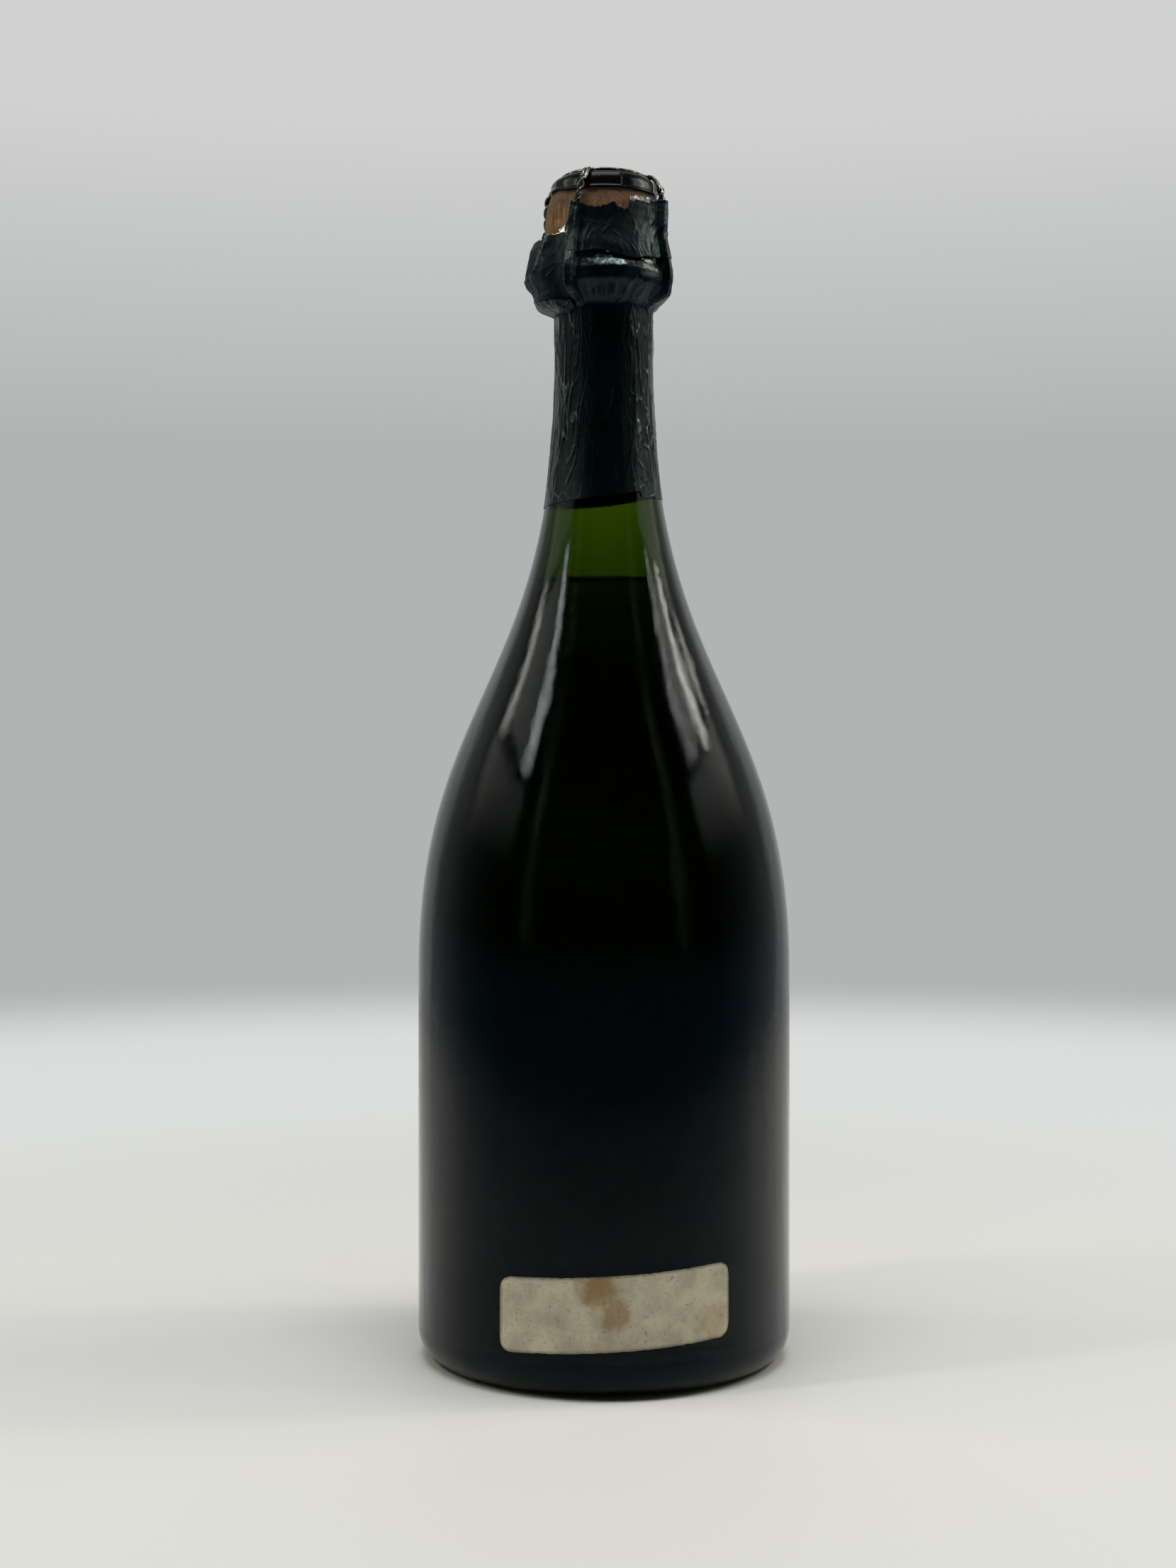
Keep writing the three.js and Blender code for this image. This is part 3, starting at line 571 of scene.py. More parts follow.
def lacquered_foil(foil):
    """Soft aluminium foil under green-black lacquer: satin, dull where crushed, rubbed on its creases
    and bare metal at its tears. Its crease mark also lightens it with painted highlights along the ridges
    over the legs and along the collar's bend."""
    material, add = new_material("lacquered_aluminium_foil")
    place = add("TexCoord").outputs["Object"]
    names = ("crease", "bare", "drape", "crumple")
    crease, bare, drape, crumple = (add("Attribute", attribute_name=name).outputs["Fac"] for name in names)
    cloud = add("TexNoise", place, 1 / (9 * MM), Detail=2)
    bend = (4 * MM, 4 * MM, 4 * MM)
    bent = add("VectorMath", cloud.outputs["Color"], bend, place, operation="MULTIPLY_ADD")
    lines = []
    for wide, tall, sharp in ((2.1, 21, 0.11), (4.2, 4.8, 0.12)):
        cell = add("Mapping", bent, Scale=per_cell(wide, tall))
        edge = add("TexVoronoi", cell, 1, feature="DISTANCE_TO_EDGE")
        lines.append(add("MapRange", edge, sharp, 0, interpolation_type="SMOOTHSTEP"))
    upright = add("Math", lines[0], drape, operation="MULTIPLY")
    fold = add("Math", lines[1], crumple, upright, operation="MULTIPLY_ADD")
    flake = add("TexNoise", place, 1 / (0.9 * MM), Detail=4, Roughness=0.7)
    base = add("Mix", cloud, foil.lacquer, 0.6 * np.array(foil.lacquer), data_type="RGBA")
    high = add("Math", upright, 0.55, crease, operation="MULTIPLY_ADD")
    wear = add("Math", high, flake, operation="MULTIPLY")
    # Rubbed lacquer and painted highlights: the crease mark lightens the foil towards the rubbed colour
    worn = add("ValToRGB", wear, stops=((0.24, 0), (0.55, 0.75)))
    rubbed = add("Mix", worn, base, foil.rubbed, data_type="RGBA")
    torn = add("ValToRGB", add("Math", bare, flake, operation="ADD"), stops=((0.9, 0), (1, 1)))
    shade = add("Mix", torn, rubbed, foil.bare, data_type="RGBA")
    satin = add("MapRange", cloud, 0, 1, 0.16, 0.42)
    crushed = add("MapRange", crumple, 0.26, 0.52, 0, 0.31)
    dull = add("Math", satin, crushed, operation="ADD")
    gloss = add("Mix", torn, dull, satin)
    bump = add("Bump", Strength=0.7, Distance=0.12 * MM, Height=fold)
    shader = add(
        "BsdfPrincipled", shade, Metallic=0.9, Roughness=gloss, Normal=bump,
        Coat_Weight=0.08, Coat_Roughness=0.2,
    )
    add("OutputMaterial", shader)
    return material


def aged_paper(labels):
    """Uncoated paper gone grey-brown, with a damp stain near its middle and dirt in its fibres."""
    material, add = new_material("aged_uncoated_paper")
    place = add("TexCoord").outputs
    fibres = add("TexNoise", place["Object"], 1 / (0.9 * MM), Detail=6, Roughness=0.7)
    clouds = add("TexNoise", place["Object"], 1 / (7 * MM), Detail=4, Roughness=0.6)
    shift = add("TexNoise", place["Object"], 1 / (4 * MM), Detail=4).outputs["Color"]
    strip = (labels.strip_length, labels.strip_height, 0)
    on_strip = add("VectorMath", place["UV"], strip, operation="MULTIPLY")
    wander = add("VectorMath", shift, (9 * MM, 9 * MM, 0), on_strip, operation="MULTIPLY_ADD")
    blots = ((29.5, 20.5, 7, 0.95), (33.5, 13.5, 6, 0.7), (58, 8, 7, 0.35), (31, 5, 5, 0.4))
    stain = 0
    for across, up, reach, depth in blots:
        away = add("VectorMath", wander, (across * MM, up * MM, 0), operation="DISTANCE")
        blot = add("MapRange", away, 0.25 * reach * MM, reach * MM, depth, 0, interpolation_type="SMOOTHSTEP")
        stain = add("Math", stain, blot, operation="MAXIMUM")
    mottled = add("ValToRGB", clouds, stops=((0.34, 0.68 * np.array(labels.paper)), (0.6, labels.paper)))
    stained = add("Mix", stain, mottled, labels.stain, data_type="RGBA")
    specks = add("ValToRGB", fibres, stops=((0.3, 0.7), (0.44, 0)))
    from_edge = add("Attribute", attribute_name="from_edge").outputs["Fac"]
    ragged_edge = add("Math", fibres, -0.12, from_edge, operation="MULTIPLY_ADD")
    soiled = add("MapRange", ragged_edge, -0.05, 0.02, 0.75, 0)
    dirt = add("Math", specks, soiled, operation="MAXIMUM")
    shade = add("Mix", dirt, stained, labels.grime, data_type="RGBA")
    bump = add("Bump", Strength=0.25, Distance=0.06 * MM, Height=fibres)
    add("OutputMaterial", add("BsdfPrincipled", shade, Roughness=0.85, Normal=bump))
    return material


def bordered_paper(labels):
    """Cream laid paper with one plain printed border line."""
    material, add = new_material("cream_laid_paper")
    place = add("TexCoord").outputs["Object"]
    clouds = add("TexNoise", place, 1 / (11 * MM), Detail=5, Roughness=0.6)
    fibres = add("TexNoise", place, 1 / (1.1 * MM), Detail=5, Roughness=0.7)
    paper = add("ValToRGB", clouds, stops=((0.3, 0.7 * np.array(labels.cream)), (0.6, labels.cream)))
    from_edge = add("Attribute", attribute_name="from_edge").outputs["Fac"]
    inset = labels.border_inset / EDGE_UNIT
    ink = 0.85
    printed = add(
        "ValToRGB", from_edge, stops=((inset, 0), (inset + 0.01, ink), (inset + 0.06, ink), (inset + 0.07, 0))
    )
    shade = add("Mix", printed, paper, labels.line, data_type="RGBA")
    bump = add("Bump", Strength=0.2, Distance=0.06 * MM, Height=fibres)
    add("OutputMaterial", add("BsdfPrincipled", shade, Roughness=0.8, Normal=bump))
    return material


# Glass and wine

SPIN_STEPS = 128  # round the glass and the wine


def shoulder(outline, glass, body_radius, neck_radius, neck_handle):
    """The shoulder's curve, from the straight side up to the straight neck."""
    top = glass.side_top + glass.shoulder_rise
    return outline.line(body_radius, glass.side_top).curve(
        (body_radius, glass.side_top + glass.shoulder_handle),
        (neck_radius, top - neck_handle),
        (neck_radius, top),
        48,
    )


def glass_radius(glass, height):
    """Outer radius of the shoulder and neck at an array of heights."""
    curve = shoulder(Outline(0, 0), glass, glass.body_radius, glass.neck_radius, glass.neck_handle).points[1:]
    return np.interp(height, [point[1] for point in curve], [point[0] for point in curve])


def hollow(glass, sink):
    """The bottle's hollow from the crown of the punt up to the bore, drawn out into the glass by a sink."""
    wall = glass.body_radius - glass.wall + sink
    floor = glass.heel_wall - sink
    ring = glass.body_radius - glass.heel_round - glass.ring_width / 2
    crown = glass.punt_height + glass.punt_wall - sink
    outline = Outline(0, crown).curve((0.5 * ring, crown), (0.85 * ring, floor), (ring, floor), 24)
    outline.corner((wall, floor), (wall, floor + wall - ring), 12)
    return shoulder(outline, glass, wall, glass.bore_radius + sink, glass.bore_handle)


def make_glass(glass):
    """The bottle: punt, standing ring, heel, side, shoulder, neck, bague, lip and hollow in one section."""
    body, bague, bore, punt = glass.body_radius, glass.bague_radius, glass.bore_radius, glass.punt_height
    ring_outer = body - glass.heel_round
    ring_inner = ring_outer - glass.ring_width
    bague_foot = LIP - glass.bague_height
    under = bague_foot + glass.bague_slope
    outline = Outline(0, punt)
    outline.curve((0.5 * ring_inner, punt), (0.85 * ring_inner, punt / 2), (ring_inner, 0), 24)
    outline.line(ring_outer, 0).corner((body, 0), (body, glass.heel_round), 14)
    shoulder(outline, glass, body, glass.neck_radius, glass.neck_handle)
    outline.line(glass.neck_radius, bague_foot).line(bague - glass.bague_round, under)
    outline.corner((bague, under), (bague, under + glass.bague_round)).line(bague, LIP - glass.lip_round)
    outline.corner((bague, LIP), (bague - glass.lip_round, LIP)).line(bore + glass.mouth_round, LIP)
    outline.corner((bore, LIP), (bore, LIP - glass.mouth_round), 5)
    for point in reversed(hollow(glass, 0).points):
        outline.line(*point)
    return lathe(outline, SPIN_STEPS, sharp=50)


def make_wine(glass):
    """The wine up to its level, with a meniscus that climbs the glass."""
    level = WINE_LEVEL - 0.8 * MM
    edge = level + glass.meniscus
    inside = hollow(glass, glass.sink).points
    outline = Outline(*inside[0])
    for radius, height in inside[1:]:
        if height >= edge:
            break
        outline.line(radius, height)
    below = outline.points[-1]
    wall = float(np.interp(edge, (below[1], height), (below[0], radius)))
    reach = 2.5 * glass.meniscus
    outline.line(wall, edge).curve(
        (wall - 0.15 * reach, level + 0.25 * glass.meniscus),
        (wall - 0.5 * reach, level),
        (wall - reach, level),
        10,
    )
    return lathe(outline.line(0, level), SPIN_STEPS, sharp=60)


# Cork and cap

def make_cork_disc(node):
    """A disc of natural cork with softened edges, in the place of a frame node."""
    foot, top = (corner[2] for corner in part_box(node))
    edge = 0.4 * MM
    outline = Outline(0, foot).line(SHANK_RADIUS - edge, foot)
    outline.corner((SHANK_RADIUS, foot), (SHANK_RADIUS, foot + edge), 4)
    outline.line(SHANK_RADIUS, top - edge)
    outline.corner((SHANK_RADIUS, top), (SHANK_RADIUS - edge, top), 4).line(0, top)
    disc = lathe(outline.fine(0.6 * MM), steps=96)
    push(disc, -0.06 * MM * (1 + bumps(places(disc), 1.2, 2)))
    return disc


def make_cork_body(cork):
    """The pressed cork: a shank in the neck and a mushroom head that bulges over the lip."""
    under = LIP + 0.3 * MM
    head = CORK_HEAD_RADIUS
    foot = head - cork.foot_inset
    crown = head - cork.crown_inset
    outline = Outline(0, CORK_BODY_FOOT).line(SHANK_RADIUS, CORK_BODY_FOOT).line(SHANK_RADIUS, under)
    outline.line(foot - cork.edge, under)
    outline.corner((foot, under), (foot + cork.edge / 2, under + 0.9 * cork.edge), 5)
    outline.corner((head, under + cork.widest / 3), (head, under + cork.widest), 20)
    turned = under + (cork.widest + cork.brow) / 2
    outline.corner((head, turned), (head - cork.brow_inset, under + cork.brow), 14)
    outline.line(crown + cork.edge / 3, CORK_TOP - 0.8 * cork.edge)
    outline.corner((crown, CORK_TOP), (crown - cork.edge, CORK_TOP), 5).line(0, CORK_TOP)
    body = lathe(outline.fine(0.45 * MM), steps=180)
    points = places(body)
    bark = bumps(points, (3, 3, 7), 1) + 0.6 * bumps(points, 1.1, 3)
    pits = np.clip(bumps(points, (1.2, 1.2, 3.4), 5) - 0.25, 0, 1)
    push(body, -cork.roughness * (0.55 - 0.5 * bark + 2.6 * pits))
    return body


CAP_FOLDS = ((16, 0.34), (-62, 0.12), (100, 0.2), (196, 0.24), (-118, 0.16))  # azimuth, height in millimetres


def make_cap(cork, hood):
    """The pressed cap: a raised middle, a seat for the wire ring and a skirt dented by the wires."""
    top = CAP_CROWN - cork.cap_boss
    under = top - cork.cap_sheet
    hem = 0.35 * MM
    rim, crown, boss, rise = CAP_EDGE_RADIUS, cork.cap_crown_radius, cork.cap_boss_radius, cork.cap_boss
    outline = Outline(0, under).line(crown - cork.cap_sheet, under).line(rim - cork.cap_sheet, CAP_EDGE)
    outline.corner((rim - cork.cap_sheet / 2, CAP_EDGE), (rim, CAP_EDGE), 4)
    outline.corner((rim + hem / 2, CAP_EDGE + hem), (rim - hem / 2, CAP_EDGE + 2 * hem), 5)
    outline.line(rim - cork.cap_shoulder_inset, CAP_EDGE + cork.cap_shoulder)
    outline.corner((crown + 0.9 * MM, top), (crown - 0.6 * MM, top), 8).line(boss + rise, top)
    outline.corner((boss + rise / 2, top), (boss + 0.2 * MM, CAP_CROWN - 0.2 * MM), 4)
    outline.corner((boss, CAP_CROWN), (boss - 0.4 * MM, CAP_CROWN), 4).line(0, CAP_CROWN)
    cap = lathe(outline.fine(0.5 * MM), steps=200, sharp=60)
    points = places(cap)
    azimuth, radius = polar(points)
    skirt = smooth(radius, boss + rise, crown)
    dent = np.zeros(len(points))
    for leg in range(LEGS):
        dent -= cork.cap_groove * bell(angle_between(azimuth, leg_azimuth(hood, leg, points[:, 2])), 0, 4.5)
    for fold, height in CAP_FOLDS:
        dent += height * MM * bell(angle_between(azimuth, fold), 0, 1.3)
    dent += 0.1 * MM * bumps(points, (5, 5, 9), 4)
    push(cap, skirt * dent)
    points = places(cap)
    low = skirt * (1 - smooth(points[:, 2], CAP_EDGE, top))
    sprung = smooth(angle_between(azimuth, 12), 42, 86) * low
    points[:, :2] *= 1 - 0.055 * sprung[:, None]
    points[:, 2] += 1.7 * MM * sprung
    move(cap, points)
    return cap


# Wire hood

def leg_azimuth(hood, leg, height):
    """Azimuth of a leg at a height: it leans a little on its way up to the ring."""
    return hood.first_leg + 360 / LEGS * leg + hood.lean * smooth(height, LIP + 5 * MM, RING_TOP)


def leg_line(glass, cork, hood, steps):
    """The middle of a leg as rows of radius and height, from the belt up to the ring on the cap."""
    wire_radius, clearance = hood.wire_radius, hood.clearance
    off = clearance + 2 * wire_radius
    bague = glass.bague_radius + off
    on_cork = CORK_HEAD_RADIUS + off
    ring_height = RING_TOP - wire_radius
    knots = np.array([
        (bague - wire_radius, BELT_HEIGHT + wire_radius + clearance),
        (bague, LIP - 2 * glass.lip_round),
        (bague, LIP - glass.lip_round),
        (on_cork, LIP + cork.widest / 2),
        (on_cork, LIP + cork.widest),
        (CAP_EDGE_RADIUS + off, CAP_EDGE),
        (CAP_EDGE_RADIUS - cork.cap_shoulder_inset + off - cork.cap_groove, CAP_EDGE + cork.cap_shoulder),
        (cork.cap_crown_radius + clearance + wire_radius, ring_height - wire_radius),
        (hood.ring_radius, ring_height),
    ])
    ends = np.vstack([2 * knots[0] - knots[1], knots, 2 * knots[-1] - knots[-2]])
    fine = []
    for start in range(len(knots) - 1):
        before, here, there, after = ends[start:start + 4]
        for t in np.linspace(0, 1, 12, endpoint=False):
            fine.append(0.5 * (
                2 * here + (there - before) * t + (2 * before - 5 * here + 4 * there - after) * t ** 2
                + (3 * here - before - 3 * there + after) * t ** 3
            ))
    fine = np.array(fine + [knots[-1]])
    along = np.concatenate([[0], np.cumsum(np.hypot(*np.diff(fine, axis=0).T))])
    wanted = np.linspace(0, along[-1], steps + 1)
    return np.stack([np.interp(wanted, along, fine[:, axis]) for axis in (0, 1)], axis=1)


def strand(line, hood, leg, side):
    """One strand of a twisted leg, on the leg's left (-1) or right (1) where it joins the ring."""
    steps = len(line) - 1
    offset = 0.98 * hood.wire_radius
    points = []
    for step, (radius, height) in enumerate(line):
        azimuth = leg_azimuth(hood, leg, height)
        tangent = at(azimuth + 90, 1, 0)
        along = line[min(step + 1, steps)] - line[max(step - 1, 0)]
        along = along / np.hypot(*along)
        outward = at(azimuth, along[1], -along[0])
        untwisted = max(0, hood.twist_share - step / steps) / hood.twist_share
        turn = untwisted * hood.turns * 2 * math.pi
        aside = math.cos(turn) * tangent + math.sin(turn) * outward
        points.append(at(azimuth, radius, height) + side * offset * aside)
    return points


def make_hood_wire(glass, cork, hood, leg):
    """One hood wire: up a leg, a quarter of the ring on the cap, and down the next leg."""
    line = leg_line(glass, cork, hood, steps=110)
    shift = math.degrees(hood.wire_radius / hood.ring_radius)
    height = RING_TOP - hood.wire_radius
    azimuth = leg_azimuth(hood, leg, height)
    points = strand(line, hood, leg, 1)
    for turn in np.linspace(azimuth + 2 * shift, azimuth + 360 / LEGS - 2 * shift, 20):
        points.append(at(turn, hood.ring_radius, height))
    points += reversed(strand(line, hood, leg + 1, -1))
    return wire(points, hood.wire_radius)


def make_belt(glass, hood):
    """The belt wire: a ring under the bague that steps out to each leg and to the eye."""
    neck = glass.neck_radius + hood.clearance + hood.wire_radius
    leg_out = glass.bague_radius + 0.3 * MM - neck
    eye_out = glass.bague_radius - hood.wire_radius - neck
    points = []
    for azimuth in np.arange(hood.first_leg, hood.first_leg + 360, 1.5):
        away = min(angle_between(azimuth, hood.first_leg + 360 / LEGS * leg) for leg in range(LEGS))
        to_leg = 1 - smooth(away, 0, hood.belt_jog)
        to_eye = 1 - smooth(angle_between(azimuth, hood.eye), 0, hood.eye_jog)
        points.append(at(azimuth, neck + leg_out * to_leg + eye_out * to_eye, BELT_HEIGHT))
    return wire(points, 0.9 * hood.wire_radius, cyclic=True)


EYE_TAIL = (  # degrees from the eye, millimetres off the bague and below the belt, of the wire's first end
    (17, -1.3, 0.1), (13, -1.0, 0.6), (8, -0.7, 0.9), (3, -0.5, 0.7), (2, -0.2, 0.3),
)


def make_eye(glass, hood):
    """The eye: the belt's ends turned up into one loop, folded against the bague."""
    radius = 0.85 * hood.wire_radius
    foot = LIP - glass.bague_height
    top = LIP + hood.eye_top
    middle = (foot + LIP) / 2
    points = []

    def place(sideways, height):
        bow = smooth(height, BELT_HEIGHT, middle) - smooth(height, middle, top)
        reach = glass.bague_radius + radius + 0.15 * MM + hood.eye_bulge * bow
        return at(hood.eye + math.degrees(sideways / reach), reach, height)

    for turn, reach, drop in EYE_TAIL:
        points.append(at(hood.eye + turn, glass.bague_radius + radius + reach * MM, BELT_HEIGHT - drop * MM))
    for turn in np.linspace(0, math.pi, 41):
        rise = math.sin(turn)
        width = mix(radius, hood.eye_half_width, math.sin(math.pi * rise) ** 0.7)
        points.append(place(width * np.sign(round(math.cos(turn), 6)), foot + (top - foot) * rise))
    points.append(place(-radius, BELT_HEIGHT))
    return wire(points, radius)


# Foil

def over_legs(sizes, azimuth, height, radius, gap, share=1):
    """Foil lifted over the hood's legs: its radii, and where the sharp edges of each ridge run, 0 to 1, which
    the finish paints as highlight lines.
    """
    glass, cork, hood, foil = sizes
    away = np.min([angle_between(azimuth, leg_azimuth(hood, leg, height)) for leg in range(LEGS)], axis=0)
    line = leg_line(glass, cork, hood, steps=60)
    strands = np.interp(height, line[:, 1], line[:, 0]) + 2 * hood.wire_radius + foil.gap + gap
    ridge = 1 - smooth(away, 0.35 * foil.ridge_foot, foil.ridge_foot)
    lifted = mix(radius, np.maximum(radius, strands), ridge * share)
    return lifted, bell(away, 0.45 * foil.ridge_foot, 0.8)


WRINKLES = {  # seed after the first, count, lean, and in millimetres lowest and highest start, run and width
    "long": (0, 120, 0.1, 214, 250, 34, 0.36),
    "short": (1, 90, 0.2, 220, 258, 12, 0.3),
    "pleats": (2, 90, 0.06, 252, 262, 17, 0.4),
    "hat": (3, 90, 0.25, 278.5, 290, 7, 0.4),
    "hat_foot": (4, 140, 0.05, 277.5, 278.5, 6, 0.45),
    "flap": (5, 120, 0.35, 268, 280, 8, 0.45),
}


def wrinkles(kind, foil, azimuth, height, radius):
    """Sharp upright wrinkles, 0 to 1, that start anywhere between two heights and wander as they rise."""
    shift, count, lean, *sizes = WRINKLES[kind]
    low, high, run, width = (size * MM for size in sizes)
    draw = random.Random(foil.seed + shift)
    total = np.zeros(len(azimuth))
    for _ in range(count):
        middle = draw.uniform(-180, 180)
        start = draw.uniform(low, high)
        rise = draw.uniform(0.4, 1) * run
        slant = draw.gauss(0, lean)
        phase = draw.uniform(0, 2 * math.pi)
        strength = draw.uniform(0.35, 1)
        share = (height - start) / rise
        fade = np.where((share > 0) & (share < 1), np.sin(np.pi * np.clip(share, 0, 1)) ** 0.6, 0)
        wander = slant * (height - start) + 0.5 * MM * np.sin(share * 5 + phase)
        turn = (azimuth - middle + 540) % 360 - 180
        away = np.abs(np.radians(turn) * radius - wander)
        total = np.maximum(total, strength * fade * np.exp(-(away / width) ** 1.2))
    return total


def tear(azimuth, foil):
    """Height of the tear between collar and hat: it dips at the front right."""
    return foil.tear_height - foil.tear_dip * bell(azimuth, 24, 20)


def gape(azimuth, foil):
    """Width of the tear at an azimuth: it gapes at the front."""
    return 0.06 * MM + foil.tear_gap * smooth(azimuth, -22, -4) * (1 - smooth(azimuth, 38, 47))


def ragged(azimuth, seed, step, height):
    """A torn edge's jags at an array of azimuths: noise along a line, with a metre of it to each step."""
    points = np.stack([azimuth / step, np.full(len(azimuth), 3.1 * seed), np.zeros(len(azimuth))], axis=1)
    return height * (bumps(points, 1000, seed) + 0.5 * bumps(points, 370, seed + 1))


SCRATCHES = (  # azimuth and height in millimetres of both ends of thin scratches in the skirt's lacquer
    (28.7, 243.8, 43.2, 235.7), (10.2, 246.3, -0.7, 238.0), (-6.9, 235.5, 13.5, 223.4),
    (-35, 240.5, -6.5, 228.5), (9.2, 223.4, 37, 221.2), (-60, 250, -44, 236), (62, 256, 48, 244),
    (120, 248, 150, 231), (-150, 252, -120, 240),
)
FOLDS = (  # the same for slanting folds low on the collar
    (27, 273.4, 5, 268.0), (36, 272.4, 15, 267.8), (-3, 271.6, -20, 269.8), (70, 272.6, 55, 268.4),
    (118, 272.8, 104, 268.6), (178, 272.2, 160, 268.2), (-136, 272.6, -150, 268.4),
)


def marks_along(lines, azimuth, height, radius, width):
    """How near slanting lines run, 0 to 1."""
    total = np.zeros(len(azimuth))
    for start, high, end, low in lines:
        share = np.clip((high * MM - height) / ((high - low) * MM), -0.02, 1.02)
        bow = 2.5 * np.sin(np.pi * share)
        away = np.radians(azimuth - mix(start, end, share) - bow) * radius
        total = np.maximum(total, np.where((share > 0) & (share < 1), bell(away, 0, width), 0))
    return total


def up_the_leg(height):
    """How far the foil has come up from the neck onto the legs, 0 to 1."""
    return smooth(height, BELT_HEIGHT - 3.1 * MM, BELT_HEIGHT + 1.5 * MM)


def over_bague(glass, height):
    """How far the foil has come up from the neck onto the bague, 0 to 1."""
    return smooth(height, BELT_HEIGHT - 2.6 * MM, LIP - glass.bague_height + 3.0 * MM)


def make_capsule(*sizes):
    """The neck skirt in one with the collar over the bague, gathered under it and open at the eye."""
    glass, _, hood, foil = sizes
    bague_foot = LIP - glass.bague_height
    rows = 124
    lip_row = 98 / rows

    def place(across, up):
        # Edges: the skirt's foot, the lip round the window at the eye, and the tear
        azimuth = foil.start - 0.02 + 360 * (across - 0.5 * np.sin(2 * np.pi * across) / (2 * np.pi))
        side = (azimuth + 180) % 360 - 180
        window = (azimuth > foil.end) & (azimuth < foil.start + 360)
        slant = foil.skirt_slant * np.sin(np.radians(azimuth))
        foot = foil.skirt_foot + slant + ragged(side, 11, 9, 0.12 * MM)
        lapped_over = 0.65 * MM * smooth(side, 5, foil.seam)
        foot += np.where(side >= foil.seam, -0.9 * MM * (1 - smooth(side, 60, 120)), lapped_over)
        torn = tear(side, foil) - gape(side, foil) / 2 + ragged(side, 12, 2.2, 0.14 * MM)
        lip = BELT_HEIGHT - 1.4 * MM + ragged(side, 13, 3, 0.15 * MM) + 0.5 * MM * bell(side, hood.eye, 17)
        top = np.where(window, lip, torn)
        above = mix(lip, top, (up - lip_row) / (1 - lip_row))
        height = np.where(up < lip_row, mix(foot, lip, up / lip_row), above)
        # Radius: the neck, the collar and the flare under the window
        neck = glass_radius(glass, height) + foil.gap
        swell = over_bague(glass, height + ragged(side, 20, 11, 0.6 * MM))
        bent = LIP - 4.9 * MM + ragged(side, 21, 14, 0.35 * MM)
        drawn_in = np.clip((height - bent) / (LIP - 2.8 * MM - bent), 0, 1.2)
        bulge = mix(0.1, 0.8, bell(side, 20, 34))
        collar = foil.collar_radius + bulge * MM * (1 - drawn_in) - 0.45 * MM * drawn_in
        radius = mix(neck, collar, swell)
        share = np.clip((height - BELT_HEIGHT + 3.6 * MM) / (2.2 * MM), 0, 1)
        lobe = smooth(side, -95, -84) * (1 - smooth(side, -48, -38))
        flare = mix(2.6 * share ** 1.6, 4.6 * (1 - (1 - share) ** 2.2), lobe)
        last = smooth(azimuth, foil.start + 350, foil.start + 360)
        flare *= smooth(azimuth, foil.end, foil.end + 16) * mix(1, 0.7, last)
        radius += np.where(window, MM * flare, 0)
        on_leg = np.where(window, 0, up_the_leg(height))
        radius, lines = over_legs(sizes, azimuth, height, radius, 0.1 * MM, on_leg)
        lines = lines * np.where(window, 0, smooth(height, BELT_HEIGHT, BELT_HEIGHT + 3 * MM))
        # Wrinkles, scratches, folds and dents
        sides = smooth(np.abs(side), 14, 42)
        skirt = 1 - smooth(height, BELT_HEIGHT - 3.5 * MM, BELT_HEIGHT + 0.8 * MM)
        long_folds, short_folds, pleats = (
            wrinkles(kind, foil, azimuth, height, neck) for kind in ("long", "short", "pleats")
        )
        crease = np.maximum(long_folds, 0.8 * short_folds) * mix(0.3, 1, sides)
        gathers = pleats * smooth(height, 0.25, 0.262) * mix(0.4, 1, sides)
        crease = np.maximum(crease, gathers) * skirt
        scratch = marks_along(SCRATCHES, side, height, neck, 0.22 * MM)
        folds = marks_along(FOLDS, side, height, radius, 0.45 * MM)
        spots = around(azimuth, radius, height)
        on_collar = smooth(height, bague_foot, bague_foot + 3 * MM)
        dents = 0.16 * bumps(spots, (4, 4, 2.6), 6)
        dents = dents + 0.08 * bumps(spots, (1.6, 1.6, 1.2), 7)
        rough = 0.06 * bumps(spots, (3, 3, 9), 8)
        clear = smooth(angle_between(azimuth, foil.start), 3, 10)
        uneven = (on_collar * dents + rough) * MM * clear
        radius = radius + foil.crease * crease + uneven + 0.12 * MM * lines * clear
        radius = radius + np.where(window, 0, 0.3 * MM * folds)
        overlap = smooth(side, 8, foil.seam - 2) - smooth(side, foil.seam - 0.6, foil.seam + 0.4)
        radius = radius + 0.15 * MM * overlap * skirt
        # Marks for the finish
        bare = np.where(window, 0, 0.32 * (1 - smooth(torn - height, 0, 0.5 * MM)))
        # Painted highlight, partly rubbed lacquer: a light band along the collar's bend, strongest at the
        # front
        worn = mix(0.3, 1, bell(side, 16, 60)) * on_collar * smooth(height, bent - 0.3 * MM, bent + 0.4 * MM)
        worn = worn * (0.6 + 0.4 * bumps(spots, 0.8, 22))
        # Painted highlight lines along the ridge edges over the legs, with the rubbed creases, scratches and
        # collar band
        crease = np.maximum(np.maximum(0.55 * crease, 0.75 * scratch), np.maximum(0.9 * lines, worn))
        on_skirt = 1 - smooth(height, bague_foot - 1 * MM, bague_foot + 4 * MM)
        drape = on_skirt * mix(0.1, 1, sides)
        looks = {"crease": crease, "bare": bare, "drape": drape, "crumple": mix(0.25, 0.1, on_skirt)}
        return around(azimuth, radius, height), looks

    return sheet(place, columns=330, rows=rows, thickness=foil.sheet)


HAT_EDGE = (  # azimuth, and height above the lip in millimetres, of the hat's torn upper edge
    (-36, 5.4), (-34.5, 6.4), (-33, 8.4), (-31.5, 11.2), (-28, 11.9), (-24, 11.5), (-18, 10.9), (-6, 10.4),
    (3, 10.9), (9.6, 11.8), (12, 10.4), (20.6, 10.0), (22.8, 10.2), (24, 13.2), (33, 13.9), (48, 13.8),
    (64, 14.3), (92, 14.0), (118, 12.6), (140, 13.6), (165, 12.0), (188, 13.3), (210, 12.2), (232, 13.0),
    (240, 10.5), (246, 7.0),
)


